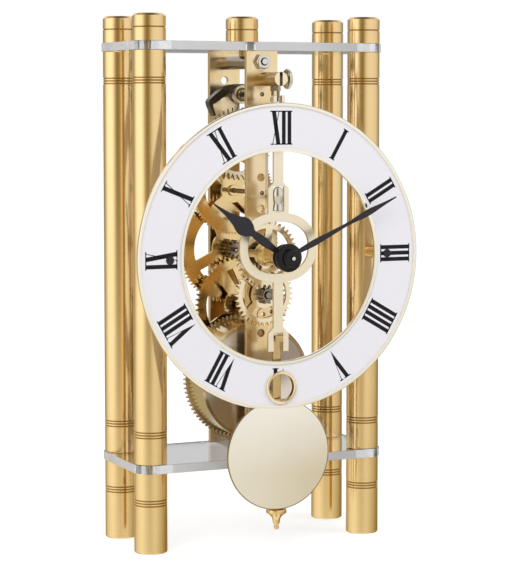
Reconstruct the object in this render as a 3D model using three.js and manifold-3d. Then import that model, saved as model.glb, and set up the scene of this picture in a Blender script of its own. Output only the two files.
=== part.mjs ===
// A skeleton table clock: four turned pillars and two clear shelves carry a narrow brass movement,
// a white dial ring with an open center, and a pendulum that swings in front of the movement.
// Millimetres, +Z up, the dial faces -Y. The part stands on z = 0, centered on its bounding box.

import * as THREE from 'three';
import { mergeVertices } from 'three/addons/utils/BufferGeometryUtils.js';
import Module from 'manifold-3d';

const wasm = await Module();
wasm.setup();

// Fits
const clearance = 0.3;
const endShake = 0.3;

// Case
const footHeight = 30.1;
const capHeight = 10.1;
const pillarDiameter = 12.4;
const pillarSpanX = 88.6;
const pillarSpanY = 31;
const pillarChamfer = 0.9;
const grooveDepth = 0.35;
const groovePitch = 1;
const groovesPerBand = 3;
const bandFromShelf = 11.1;
const capGrooveHeight = 5.1;
const shelfThickness = 3.3;
const shelfMargin = 0.5;
const studDiameter = 5;
const studReach = 7;
const middleStudDiameter = 2.4;

// Movement frame
const plateWidth = 12.8;
const plateThickness = 2;
const plateGap = 33;
const notchEdge = 1.4;
const notchAbove = 20;
const notchBelow = 12.5;
const pillarPostDiameter = 5.1;
const pillarPostDrop = 4;
const tenonDiameter = 2.4;
const nutAcross = 5.4;
const nutHeight = 2.2;
const barWidth = 8;
const barHeight = 3.4;
const barTenonDiameter = 1.4;
const barNutAcross = 3.2;
const barToWheel = 0.9;
const steadyHoleDiameter = 3;
const steadyHoleRise = 5.9;
const steadyHoleOffset = 0.5;
const lowerHoleDrop = 8;

// Going train: teeth, modules and the places of the wheels along the arbors
const wheelThickness = 1.2;
const greatTeeth = 84;
const intermediateLeaves = 12;
const intermediateTeeth = 60;
const intermediateModule = 0.64;
const intermediateOffset = 3.7;
const centerLeaves = 10;
const centerTeeth = 80;
const centerModule = 0.52;
const thirdLeaves = 8;
const thirdTeeth = 84;
const thirdModule = 0.4;
const escapeLeaves = 7;
const escapeTeeth = 42;
const escapeRadius = 14.1;
const escapeToPallets = 18.9;
const palletsToShelf = 16.2;
const arborDiameter = 1.8;
const pivotDiameter = 1;
const greatWheelThickness = 2;
const greatPlane = 18;
const middlePlane = 25.6;
const centerPlane = 29.3;
const escapePlane = 20;

// Barrel and winding work
const barrelDiameter = 44.6;
const barrelRimStep = 0.928;
const barrelWall = 1.2;
const barrelLength = 12.6;
const coverThickness = 0.9;
const barrelArborDiameter = 6;
const coreDiameter = 8;
const springThickness = 0.5;
const springTurns = 4;
const windingSquare = 4;
const windingSquareLength = 8;
const ratchetTeeth = 24;
const ratchetRadius = 6;
const ratchetThickness = 1.5;
const clickOffset = 4.4;
const clickDrop = 4.6;

// Escapement
const anchorThickness = 1.1;
const anchorWidth = 3.6;
const palletGap = 0.95;
const palletHalfSpan = 44;
const colletDiameter = 7;
const crutchWire = 1.5;
const crutchOffset = 4.2;

// Suspension and pendulum
const postDiameter = 5.3;
const postRise = 5.6;
const postPastSpring = 1.6;
const springWidth = 6.8;
const springLeafWidth = 2;
const springLeafThickness = 0.4;
const springFreeLength = 2.4;
const springToDial = 0.6;
const blockThickness = 1.2;
const blockHeight = 1.6;
const thumbDiameter = 7.5;
const thumbThickness = 1.3;
const leaderThickness = 1.2;
const leaderWidth = 4;
const leaderHeadWidth = 8.4;
const leaderHeadHeight = 11.2;
const crutchSlotWidth = 4.4;
const ringWidth = 31.4;
const ringHeight = 26;
const ringBand = 3.3;
const ringRise = 3.2;
const lowerStem = 16.7;
const forkHeight = 9;
const forkSlotWidth = 3.8;
const forkSlotDepth = 7;
const hookWidth = 3.2;
const hookThickness = 0.8;
const pendulumLength = 134.2;
const bobDiameter = 41.7;
const bobThickness = 1.6;
const lugHeight = 4;
const lugWidth = 5.2;
const ratingTravel = 1.2;
const ratingFlangeDiameter = 7.7;
const ratingHeight = 7.8;
const ratingThread = 2;

// Motion work
const motionDistance = 15.3;
const cannonLeaves = 12;
const minuteTeeth = 36;
const minuteLeaves = 10;
const hourTeeth = 40;
const handArborDiameter = 2;
const cannonPipeDiameter = 3.8;
const hourPipeDiameter = 6.6;
const motionGap = 1;

// Dial and hands
const dialOuter = 56.9;
const dialThickness = 1;
const rimHeight = 0.5;
const rimWidth = 1.5;
const dialScrewInset = 5.4;
const dialPostLength = 13;
const dialPostDiameter = 5.2;
const dialScrewHead = 3.1;
const dialScrewShank = 1.6;
const bushOuter = 12.5;
const bushInner = 10;
const leaderToDial = 1.2;
const handThickness = 0.7;
const hourReach = 35;
const minuteReach = 50;
const hourAngle = 305.4;
const minuteAngle = 64.5;
const handNutDiameter = 10.5;
const handNutLength = 4.4;

// Facets
const pillarSides = 10;
const smallSides = 10;
const holeSides = 8;
const discSides = 24;
const dialSides = 40;
const turnedSides = 12;

// Heights that follow from the sizes above
const addendum = { wheel: 0.85, pinion: 0.7 };
const dedendum = { wheel: 1.35, pinion: 1.4 };
const greatModule = (barrelDiameter + barrelRimStep) / (greatTeeth - 2 * dedendum.wheel);
const lowerShelfTop = footHeight + shelfThickness;
const greatTip = greatModule * (greatTeeth / 2 + addendum.wheel);
const barrelZ = lowerShelfTop + barHeight + barToWheel + greatTip;
const greatDistance = greatModule * (greatTeeth + intermediateLeaves) / 2;
const intermediateDistance = intermediateModule * (intermediateTeeth + centerLeaves) / 2;
const intermediateZ = barrelZ + Math.sqrt(greatDistance ** 2 - intermediateOffset ** 2);
const centerZ = intermediateZ + Math.sqrt(intermediateDistance ** 2 - intermediateOffset ** 2);
const thirdZ = centerZ + centerModule * (centerTeeth + thirdLeaves) / 2;
const escapeZ = thirdZ + thirdModule * (thirdTeeth + escapeLeaves) / 2;
const palletZ = escapeZ + escapeToPallets;
const upperShelfBottom = palletZ + palletsToShelf;
const upperShelfTop = upperShelfBottom + shelfThickness;
const columnHeight = upperShelfBottom - lowerShelfTop;
const postZ = palletZ + postRise;
const topPillarZ = upperShelfBottom - pillarPostDrop;
const barZ = lowerShelfTop + barHeight / 2;
const minuteZ = centerZ - motionDistance;

// Depths, from the front (negative) to the back
const frontInner = -plateGap / 2;
const frontFace = frontInner - plateThickness;
const backInner = plateGap / 2;
const backFace = backInner + plateThickness;
const pillarApothem = pillarDiameter / 2 * Math.cos(Math.PI / pillarSides);
const dialBack = -pillarSpanY / 2 - pillarApothem - dialPostLength;
const dialFace = dialBack - dialThickness;
const leaderFront = dialBack + leaderToDial;
const leaderBack = leaderFront + leaderThickness;
const leaderMiddle = (leaderFront + leaderBack) / 2;
const hourHandBack = dialFace - rimHeight - 2.5;
const minuteHandBack = hourHandBack - handThickness - 1.5;
const handNutBack = minuteHandBack - handThickness;
const handNutFront = handNutBack - handNutLength;
const arborTip = handNutFront - 0.8;
const rearmost = pillarSpanY / 2 + pillarDiameter / 2 + shelfMargin;
const dialInner = pillarSpanX / 2 - dialScrewInset;

const axes = {
  barrel: { x: 0, z: barrelZ },
  intermediate: { x: intermediateOffset, z: intermediateZ },
  center: { x: 0, z: centerZ },
  third: { x: 0, z: thirdZ },
  escape: { x: 0, z: escapeZ },
  pallets: { x: 0, z: palletZ },
  minute: { x: 0, z: minuteZ },
};

const finishes = {
  gold: { color: 0xd9aa48, roughness: 0.3, metalness: 1 },
  brass: { color: 0xd8bd84, roughness: 0.32, metalness: 1 },
  wheelBrass: { color: 0xc79a4a, roughness: 0.3, metalness: 1 },
  paleBrass: { color: 0xe9dcc0, roughness: 0.2, metalness: 1 },
  nickel: { color: 0xc9c6bf, roughness: 0.2, metalness: 1 },
  steel: { color: 0x5d5953, roughness: 0.35, metalness: 1 },
  acrylic: { color: 0xf0f3f3, roughness: 0.05, metalness: 0, transparent: true, opacity: 0.35 },
  dialWhite: { color: 0xf0eff6, roughness: 0.4, metalness: 0 },
  black: { color: 0x1d1b1f, roughness: 0.45, metalness: 0.2 },
};

// A closed three.js geometry as a solid that can be joined and cut.
function solidOf(geometry) {
  geometry.deleteAttribute('normal');
  geometry.deleteAttribute('uv');
  const merged = mergeVertices(geometry, 1e-4);
  const corners = merged.index.array;
  const triangles = [];
  for (let i = 0; i < corners.length; i += 3) {
    const [a, b, c] = corners.slice(i, i + 3);
    if (a !== b && b !== c && c !== a) {
      triangles.push(a, b, c);
    }
  }
  return new wasm.Manifold(new wasm.Mesh({
    numProp: 3,
    vertProperties: merged.attributes.position.array,
    triVerts: new Uint32Array(triangles),
  }));
}

function geometryOf(solid) {
  const mesh = solid.getMesh();
  const geometry = new THREE.BufferGeometry();
  geometry.setAttribute('position', new THREE.BufferAttribute(mesh.vertProperties, mesh.numProp));
  geometry.setIndex(new THREE.BufferAttribute(mesh.triVerts, 1));
  geometry.computeVertexNormals();
  return geometry;
}

function piece(name, solid, finish, x = 0, z = 0, y = 0) {
  const mesh = new THREE.Mesh(geometryOf(solid), new THREE.MeshStandardMaterial(finishes[finish]));
  mesh.name = name;
  mesh.position.set(x, y, z);
  return mesh;
}

function groupOf(...pieces) {
  const group = new THREE.Group();
  group.add(...pieces);
  return group;
}

// Pieces of one arbor, placed on its axis.
function onAxis(axis, ...pieces) {
  const group = groupOf(...pieces);
  group.position.set(axis.x, 0, axis.z);
  return group;
}

const vectors = (points) => points.map(([x, y]) => new THREE.Vector2(x, y));

// Turned forms: a profile of [radius, distance along the axis], from low to high.
function turnedAlongY(profile, sides, phase = 0) {
  return solidOf(new THREE.LatheGeometry(vectors(profile), sides, phase));
}

function turnedAlongZ(profile, sides, phase = 0) {
  return solidOf(new THREE.LatheGeometry(vectors(profile), sides, phase).rotateX(Math.PI / 2));
}

function turnedAlongX(profile, sides) {
  return solidOf(new THREE.LatheGeometry(vectors(profile), sides).rotateZ(-Math.PI / 2));
}

function rod(radius, from, to) {
  return [[0, from], [radius, from], [radius, to], [0, to]];
}

function tube(inner, outer, from, to) {
  return [[inner, from], [outer, from], [outer, to], [inner, to], [inner, from]];
}

function arc(radius, from, to, steps, x = 0, z = 0) {
  const points = [];
  for (let i = 0; i <= steps; i += 1) {
    const angle = from + (to - from) * i / steps;
    points.push([x + radius * Math.cos(angle), z + radius * Math.sin(angle)]);
  }
  return points;
}

function circle(radius, sides = smallSides, x = 0, z = 0) {
  return arc(radius, 0, 2 * Math.PI, sides, x, z).slice(0, sides);
}

function rectangle(left, right, low, high) {
  return [[left, low], [right, low], [right, high], [left, high]];
}

function shapeOf(outline, holes) {
  const shape = new THREE.Shape(vectors(outline));
  shape.holes = holes.map((hole) => new THREE.Path(vectors(hole)));
  return shape;
}

function extruded(outline, holes, depth) {
  return new THREE.ExtrudeGeometry(shapeOf(outline, holes), { depth, bevelEnabled: false });
}

// A sheet piece that faces the front: an outline in x and z, from its back face towards the viewer.
function sheet(outline, holes, back, thickness) {
  const geometry = extruded(outline, holes, thickness);
  return solidOf(geometry.rotateX(Math.PI / 2).translate(0, back, 0));
}

// A flat-lying piece: an outline in x and y, from its lower face up.
function slab(outline, holes, bottom, thickness) {
  const geometry = extruded(outline, holes, thickness);
  return solidOf(geometry.translate(0, 0, bottom));
}

// A piece cut from strip that stands on edge: an outline in y and z, spread over its width in x.
function profileAcross(outline, width) {
  const geometry = extruded(outline, [], width);
  geometry.rotateX(Math.PI / 2).rotateZ(Math.PI / 2).translate(-width / 2, 0, 0);
  return solidOf(geometry);
}

function block(sizeX, sizeY, sizeZ, x, y, z) {
  return solidOf(new THREE.BoxGeometry(sizeX, sizeY, sizeZ).translate(x, y, z));
}

// Both edges of a strip of even thickness that is bent at each point of a path.
function bentStrip(path, thickness) {
  const left = [];
  const right = [];
  path.forEach((point, i) => {
    const before = path[Math.max(i - 1, 0)];
    const after = path[Math.min(i + 1, path.length - 1)];
    const into = new THREE.Vector2(point[0] - before[0], point[1] - before[1]).normalize();
    const out = new THREE.Vector2(after[0] - point[0], after[1] - point[1]).normalize();
    const along = into.clone().add(out).normalize();
    const reference = i === 0 ? out : into;
    const half = thickness / 2 / along.dot(reference);
    left.push([point[0] - along.y * half, point[1] + along.x * half]);
    right.push([point[0] + along.y * half, point[1] - along.x * half]);
  });
  return [...right, ...left.reverse()];
}

function wire(points, diameter, steps) {
  const corners = points.map((point) => new THREE.Vector3(...point));
  const path = new THREE.CatmullRomCurve3(corners, false, 'catmullrom', 0.1);
  const section = shapeOf(circle(diameter / 2, 6), []);
  return solidOf(new THREE.ExtrudeGeometry(section, { steps, bevelEnabled: false, extrudePath: path }));
}

// Gears: straight-flanked teeth that taper to their tips, so that a mesh has backlash.
const wheelTooth = { add: addendum.wheel, ded: dedendum.wheel, tips: [0], root: 0.25 };
const leafTooth = { add: addendum.pinion, ded: dedendum.pinion, tips: [-0.1, 0.1], root: 0.21 };

// The toothed outline of a gear that has the middle of a tooth at the angle toothAt.
function toothed(teeth, module, tooth, toothAt) {
  const pitchRadius = teeth * module / 2;
  const pitch = 2 * Math.PI / teeth;
  const points = [];
  for (let i = 0; i < teeth; i += 1) {
    const middle = toothAt + i * pitch;
    const flanks = [
      [pitchRadius - tooth.ded * module, -tooth.root],
      ...tooth.tips.map((tip) => [pitchRadius + tooth.add * module, tip]),
      [pitchRadius - tooth.ded * module, tooth.root],
    ];
    for (const [radius, share] of flanks) {
      const angle = middle + share * pitch;
      points.push([radius * Math.cos(angle), radius * Math.sin(angle)]);
    }
  }
  return points;
}

// Windows that leave straight arms between a hub and a rim.
function crossings(hubRadius, rimRadius, arms, armWidth, firstArm) {
  const windows = [];
  for (let i = 0; i < arms; i += 1) {
    const from = firstArm + i * 2 * Math.PI / arms;
    const to = from + 2 * Math.PI / arms;
    const atRim = Math.asin(armWidth / 2 / rimRadius);
    const atHub = Math.asin(armWidth / 2 / hubRadius);
    windows.push([
      ...arc(rimRadius, from + atRim, to - atRim, 3),
      ...arc(hubRadius, to - atHub, from + atHub, 1),
    ]);
  }
  return windows;
}

const directionTo = (from, to) => Math.atan2(to.z - from.z, to.x - from.x);

// A tooth of a wheel points at its pinion, and a gap of the pinion at the wheel.
function wheelOutline(teeth, module, from, to) {
  return toothed(teeth, module, wheelTooth, directionTo(from, to));
}

function pinionSolid(leaves, module, wheelAxis, ownAxis, back, length) {
  const gapAt = directionTo(ownAxis, wheelAxis);
  return sheet(toothed(leaves, module, leafTooth, gapAt + Math.PI / leaves), [], back, length);
}

function crossedWheel({ teeth, module, from, to, plane, arms, armWidth, rim, hub, bore, turn = 0 }) {
  const rootRadius = module * (teeth / 2 - wheelTooth.ded);
  const windows = crossings(hub, rootRadius - rim, arms, armWidth, turn);
  const outline = wheelOutline(teeth, module, from, to);
  const back = frontInner + plane + wheelThickness / 2;
  return sheet(outline, [circle(bore), ...windows], back, wheelThickness);
}

// An arbor between the plates: thin pivots in the plate holes and a thicker body with end shake.
function plainArbor() {
  const body = arborDiameter / 2;
  const pivot = pivotDiameter / 2;
  const front = frontInner + endShake;
  const back = backInner - endShake;
  return turnedAlongY([
    [0, frontFace + endShake], [pivot, frontFace + endShake], [pivot, front], [body, front],
    [body, back], [pivot, back], [pivot, backFace - endShake], [0, backFace - endShake],
  ], smallSides);
}

// Case: feet, columns, caps and the two clear shelves
const pillarTurn = Math.PI / pillarSides;
const corners = [
  ['front_left', -1, -1], ['front_right', 1, -1], ['back_left', -1, 1], ['back_right', 1, 1],
];

// A band of turned grooves round a radius, centered at a height, from low to high.
function grooveBand(radius, middle, count) {
  const points = [[radius, middle - count * groovePitch / 2]];
  for (let i = 0; i < count; i += 1) {
    const low = middle + (i - count / 2) * groovePitch;
    points.push([radius - grooveDepth, low + groovePitch / 2], [radius, low + groovePitch]);
  }
  return points;
}

function foot() {
  const radius = pillarDiameter / 2;
  const stud = studDiameter / 2;
  const top = footHeight + shelfThickness + studReach;
  return turnedAlongZ([
    [0, 0], [radius - pillarChamfer, 0], [radius, pillarChamfer],
    ...grooveBand(radius, footHeight - bandFromShelf, groovesPerBand),
    [radius, footHeight], [stud, footHeight], [stud, top], [0, top],
  ], pillarSides, pillarTurn);
}

function column() {
  const radius = pillarDiameter / 2;
  const bore = studDiameter / 2 + clearance;
  const depth = studReach + clearance;
  return turnedAlongZ([
    [0, depth], [bore, depth], [bore, 0], [radius, 0],
    ...grooveBand(radius, bandFromShelf, groovesPerBand),
    ...grooveBand(radius, columnHeight - bandFromShelf, groovesPerBand),
    [radius, columnHeight], [bore, columnHeight], [bore, columnHeight - depth], [0, columnHeight - depth],
  ], pillarSides, pillarTurn);
}

function cap(studRadius, studLength) {
  const radius = pillarDiameter / 2;
  return turnedAlongZ([
    [0, -studLength], [studRadius, -studLength], [studRadius, 0], [radius, 0],
    ...grooveBand(radius, capGrooveHeight, 1),
    [radius, capHeight - pillarChamfer], [radius - pillarChamfer, capHeight], [0, capHeight],
  ], pillarSides, pillarTurn);
}

function shelf(bottom, middleHoleRadius) {
  const radius = pillarDiameter / 2 + shelfMargin;
  const x = pillarSpanX / 2;
  const y = pillarSpanY / 2;
  const quarter = Math.PI / 2;
  const outline = [
    ...arc(radius, 0, quarter, 4, x, y), ...arc(radius, quarter, 2 * quarter, 4, -x, y),
    ...arc(radius, 2 * quarter, 3 * quarter, 4, -x, -y), ...arc(radius, 3 * quarter, 4 * quarter, 4, x, -y),
  ];
  const studHoles = corners.map(([, sideX, sideY]) => (
    circle(studDiameter / 2 + clearance, smallSides, sideX * x, sideY * y)
  ));
  return slab(outline, [...studHoles, circle(middleHoleRadius)], bottom, shelfThickness);
}

function buildCase() {
  const middleHole = middleStudDiameter / 2 + clearance;
  const capStud = shelfThickness + studReach;
  const pieces = [
    piece('lower_shelf', shelf(footHeight, middleHole), 'acrylic'),
    piece('upper_shelf', shelf(upperShelfBottom, middleHole), 'acrylic'),
  ];
  for (const [place, sideX, sideY] of corners) {
    const x = sideX * pillarSpanX / 2;
    const y = sideY * pillarSpanY / 2;
    pieces.push(
      piece(`foot_${place}`, foot(), 'gold', x, 0, y),
      piece(`column_${place}`, column(), 'gold', x, lowerShelfTop, y),
      piece(`cap_${place}`, cap(studDiameter / 2, capStud), 'gold', x, upperShelfTop, y),
    );
  }
  const middleStud = shelfThickness + pillarPostDrop;
  pieces.push(piece('cap_center', cap(middleStudDiameter / 2, middleStud), 'gold', 0, upperShelfTop));
  return groupOf(...pieces);
}

// Movement frame: two narrow plates, a top pillar with its nut, and a bar at the foot
const pivotHole = pivotDiameter / 2 + clearance;
const tenonHole = tenonDiameter / 2 + clearance;
const barTenonHole = barTenonDiameter / 2 + clearance;
const windingHole = windingSquare / Math.SQRT2 + clearance;

function sharedHoles() {
  return [
    circle(tenonHole, holeSides, 0, topPillarZ),
    circle(tenonHole, holeSides, 0, postZ),
    circle(pivotHole, holeSides, 0, palletZ),
    circle(pivotHole, holeSides, 0, escapeZ),
    circle(pivotHole, holeSides, 0, thirdZ),
    circle(pivotHole, holeSides, intermediateOffset, intermediateZ),
    circle(windingHole, holeSides, 0, barrelZ),
    circle(barTenonHole, holeSides, 0, barZ),
  ];
}

function frontPlate() {
  const half = plateWidth / 2;
  const notchHigh = thirdZ + notchAbove;
  const notchLow = thirdZ - notchBelow;
  const outline = [
    [-half, lowerShelfTop], [half, lowerShelfTop], [half, notchLow], [notchEdge, notchLow],
    [notchEdge, notchHigh], [half, notchHigh], [half, upperShelfBottom], [-half, upperShelfBottom],
  ];
  const handHole = circle(cannonPipeDiameter / 2 + clearance, holeSides, 0, centerZ);
  const clickHole = circle(tenonHole, holeSides, clickPivot.x, clickPivot.z);
  const steadyHeights = [thirdZ + steadyHoleRise, thirdZ - steadyHoleRise, intermediateZ - lowerHoleDrop];
  const steadyHoles = steadyHeights.map((z) => (
    circle(steadyHoleDiameter / 2, holeSides, -steadyHoleOffset, z)
  ));
  const holes = [...sharedHoles(), handHole, clickHole, ...steadyHoles];
  const plate = sheet(outline, holes, frontInner, plateThickness);
  const studRoot = frontFace + plateThickness / 2;
  const minuteStud = turnedAlongY(rod(minuteStudRadius, minuteStudTip, studRoot), holeSides);
  return plate.add(minuteStud.translate(0, 0, minuteZ));
}

function backPlate() {
  const half = plateWidth / 2;
  const outline = rectangle(-half, half, lowerShelfTop, upperShelfBottom);
  const centerHole = circle(pivotHole, holeSides, 0, centerZ);
  return sheet(outline, [...sharedHoles(), centerHole], backFace, plateThickness);
}

function topPillar() {
  const body = pillarPostDiameter / 2;
  const tenon = tenonDiameter / 2;
  const stud = frontFace - nutHeight - 0.7;
  const pillar = turnedAlongY([
    [0, stud], [tenon, stud], [tenon, frontInner], [body, frontInner],
    [body, backInner], [tenon, backInner], [tenon, backFace], [0, backFace],
  ], smallSides);
  const studDepth = pillarPostDrop - pillarPostDiameter / 2;
  const stopper = middleStudDiameter / 2 + clearance;
  const tappedHole = turnedAlongZ(rod(stopper, -clearance, studDepth + pillarPostDiameter), smallSides);
  return pillar.subtract(tappedHole);
}

function bottomBar() {
  const stud = barTenonDiameter / 2;
  const body = block(barWidth, plateGap, barHeight, 0, 0, 0);
  const tenon = turnedAlongY(rod(stud, frontFace - nutHeight - 0.7, backFace), smallSides);
  const hole = turnedAlongZ(rod(middleStudDiameter / 2 + clearance, -barHeight, 0), smallSides);
  return body.add(tenon).subtract(hole);
}

function hexNut(across, bore) {
  const outline = circle(across / Math.sqrt(3), 6);
  return sheet(outline, [circle(bore)], frontFace, nutHeight);
}

function baseScrew() {
  const shank = middleStudDiameter / 2;
  const head = 2 * middleStudDiameter / 2;
  const headHeight = 1.6;
  return turnedAlongZ([
    [0, -headHeight], [head, -headHeight], [head, 0], [shank, 0],
    [shank, shelfThickness + barHeight / 2 - clearance], [0, shelfThickness + barHeight / 2 - clearance],
  ], smallSides);
}

function buildFrame() {
  return groupOf(
    piece('front_plate', frontPlate(), 'brass'),
    piece('back_plate', backPlate(), 'brass'),
    piece('top_pillar', topPillar(), 'nickel', 0, topPillarZ),
    piece('bottom_bar', bottomBar(), 'nickel', 0, barZ),
    piece('nut_top', hexNut(nutAcross, tenonHole), 'nickel', 0, topPillarZ),
    piece('nut_bottom', hexNut(barNutAcross, barTenonHole), 'nickel', 0, barZ),
    piece('base_screw', baseScrew(), 'nickel', 0, footHeight),
  );
}

// Barrel: a toothed drum with a cover, the mainspring round its core, and the winding work
const barrelBack = frontInner + greatPlane + greatWheelThickness / 2;
const barrelFloor = barrelBack - greatWheelThickness;
const barrelMouth = barrelFloor - barrelLength;
const ratchetBack = frontFace - clearance;
const ratchetFront = ratchetBack - ratchetThickness;
const clickPivot = { x: -clickOffset, z: barrelZ - ratchetRadius - clickDrop };

function barrelDrum() {
  const bore = barrelArborDiameter / 2 + clearance;
  const outer = barrelDiameter / 2;
  const outline = wheelOutline(greatTeeth, greatModule, axes.barrel, axes.intermediate);
  const rim = sheet(outline, [circle(bore)], barrelBack, greatWheelThickness);
  return rim.add(turnedAlongY(tube(outer - barrelWall, outer, barrelMouth, barrelFloor + 0.2), discSides));
}

function barrelCover() {
  const bore = barrelArborDiameter / 2 + clearance;
  return turnedAlongY(tube(bore, barrelDiameter / 2, barrelMouth - coverThickness, barrelMouth), discSides);
}

// The spring's leaf winds from its core to the drum's wall at a steady rate.
function mainspring() {
  const steps = 10;
  const inner = coreDiameter / 2 + clearance + springThickness;
  const outer = barrelDiameter / 2 - barrelWall - clearance - springThickness;
  const wallFacet = 1 - Math.cos(Math.PI / discSides);
  const path = [];
  for (let i = 0; i <= springTurns * steps; i += 1) {
    const share = i / (springTurns * steps);
    const radius = inner + (outer * (1 - wallFacet) - inner) * share;
    const angle = 2 * Math.PI * i / steps;
    path.push([radius * Math.cos(angle), radius * Math.sin(angle)]);
  }
  const gap = (outer - inner) / springTurns * Math.cos(Math.PI / steps) - springThickness;
  console.log(`mainspring: least gap between turns ${gap.toFixed(2)} mm`);
  const front = barrelMouth + clearance;
  const back = barrelFloor - clearance;
  return sheet(bentStrip(path, springThickness), [], back, back - front);
}

function windingArbor() {
  const body = barrelArborDiameter / 2;
  const core = coreDiameter / 2;
  const pivot = windingSquare / Math.SQRT2;
  const frontShoulder = frontInner + endShake;
  const turnedPart = turnedAlongY([
    [0, frontFace], [pivot, frontFace], [pivot, frontShoulder], [body, frontShoulder],
    [body, barrelMouth + clearance], [core, barrelMouth + clearance],
    [core, barrelFloor - clearance], [body, barrelFloor - clearance],
    [body, backInner - endShake], [pivot, backInner - endShake], [pivot, backFace - endShake],
    [0, backFace - endShake],
  ], smallSides);
  const squareFront = frontFace - windingSquareLength;
  const squareBack = frontFace + plateThickness / 2;
  const squareMiddle = (squareFront + squareBack) / 2;
  const square = block(windingSquare, squareBack - squareFront, windingSquare, 0, squareMiddle, 0);
  return turnedPart.add(square);
}

function ratchetWheel() {
  const outline = [];
  const root = ratchetRadius - 1;
  for (let i = 0; i < ratchetTeeth; i += 1) {
    const radial = Math.PI + i * 2 * Math.PI / ratchetTeeth;
    const next = radial + 2 * Math.PI / ratchetTeeth;
    outline.push([root * Math.cos(radial), root * Math.sin(radial)]);
    outline.push([ratchetRadius * Math.cos(next), ratchetRadius * Math.sin(next)]);
  }
  const half = windingSquare / 2 + clearance;
  return sheet(outline, [rectangle(-half, half, -half, half)], ratchetBack, ratchetThickness);
}

// The click stands beside the ratchet with its nose under a tooth, and a tail for its spring.
function click() {
  const edge = -ratchetRadius;
  const nose = [
    [edge - 0.05, edge * 0.43], [edge + 0.25, -0.9], [edge + 0.65, -0.35],
    [edge - 0.6, -0.4], [edge - 1.1, edge * 0.43],
  ].map(([x, z]) => [x - clickPivot.x, z + barrelZ - clickPivot.z]);
  const outline = [
    [-1.3, -5], [0.4, -5], [1.9, -1.2], [1.9, 1.2], [0.6, 4.2], ...nose, [-1.9, 1.2], [-1.9, -1.2],
  ];
  return sheet(outline, [circle(tenonHole)], ratchetBack, ratchetThickness);
}

function clickScrew() {
  const shank = tenonDiameter / 2;
  const head = 1.9;
  const headBack = ratchetFront - clearance / 2;
  return turnedAlongY([
    [0, headBack - 1], [head, headBack - 1], [head, headBack], [shank, headBack],
    [shank, frontInner], [0, frontInner],
  ], smallSides);
}

// A leaf spring whose foot lies on the front plate and whose tip follows the click's tail.
function clickSpring() {
  const low = clickPivot.z - clickDrop;
  const path = [[clickDrop, low + 6], [clickDrop, low + 1.6], [clickDrop - 1.6, low], [-2.6, low]];
  return sheet(bentStrip(path, 0.6), [], frontFace, ratchetThickness);
}

function buildBarrel() {
  return groupOf(
    onAxis(
      axes.barrel,
      piece('barrel', barrelDrum(), 'wheelBrass'),
      piece('barrel_cover', barrelCover(), 'nickel'),
      piece('mainspring', mainspring(), 'steel'),
      piece('winding_arbor', windingArbor(), 'steel'),
      piece('ratchet_wheel', ratchetWheel(), 'nickel'),
    ),
    piece('click', click(), 'nickel', clickPivot.x, clickPivot.z),
    piece('click_screw', clickScrew(), 'nickel', clickPivot.x, clickPivot.z),
    piece('click_spring', clickSpring(), 'steel'),
  );
}

// Going train: intermediate, center, third and escape arbors with their wheels
const wheelBore = arborDiameter / 2 + clearance / 2;

// An arbor with a pinion whose leaves span a plane with some length to spare on both sides.
function pinionArbor(leaves, module, wheelAxis, ownAxis, plane, length) {
  const back = frontInner + plane + length / 2;
  return plainArbor().add(pinionSolid(leaves, module, wheelAxis, ownAxis, back, length));
}

// The center arbor runs on through the front plate to carry the hands.
function centerArbor() {
  const body = arborDiameter / 2;
  const pivot = pivotDiameter / 2;
  const hand = handArborDiameter / 2;
  const front = frontInner + endShake;
  const shaft = turnedAlongY([
    [0, arborTip], [hand, arborTip], [hand, front], [body + 0.6, front],
    [body + 0.6, front + 2], [body, front + 2],
    [body, backInner - endShake], [pivot, backInner - endShake], [pivot, backFace - endShake],
    [0, backFace - endShake],
  ], smallSides);
  const length = 5.4;
  const back = frontInner + middlePlane + length / 2 - 0.6;
  const pinion = pinionSolid(centerLeaves, intermediateModule, axes.intermediate, axes.center, back, length);
  return shaft.add(pinion);
}

function escapeWheel() {
  const pitch = 2 * Math.PI / escapeTeeth;
  const root = escapeRadius - 2.1;
  const outline = [];
  for (let i = 0; i < escapeTeeth; i += 1) {
    const start = i * pitch;
    const flanks = [[root, 0.1], [escapeRadius, 0.68], [root, 0.85]];
    for (const [radius, share] of flanks) {
      const angle = start + share * pitch;
      outline.push([radius * Math.cos(angle), radius * Math.sin(angle)]);
    }
  }
  const windows = crossings(3, root - 1.3, 4, 1.3, Math.PI / 4);
  const back = frontInner + escapePlane + wheelThickness / 2;
  return sheet(outline, [circle(wheelBore), ...windows], back, wheelThickness);
}

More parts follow.
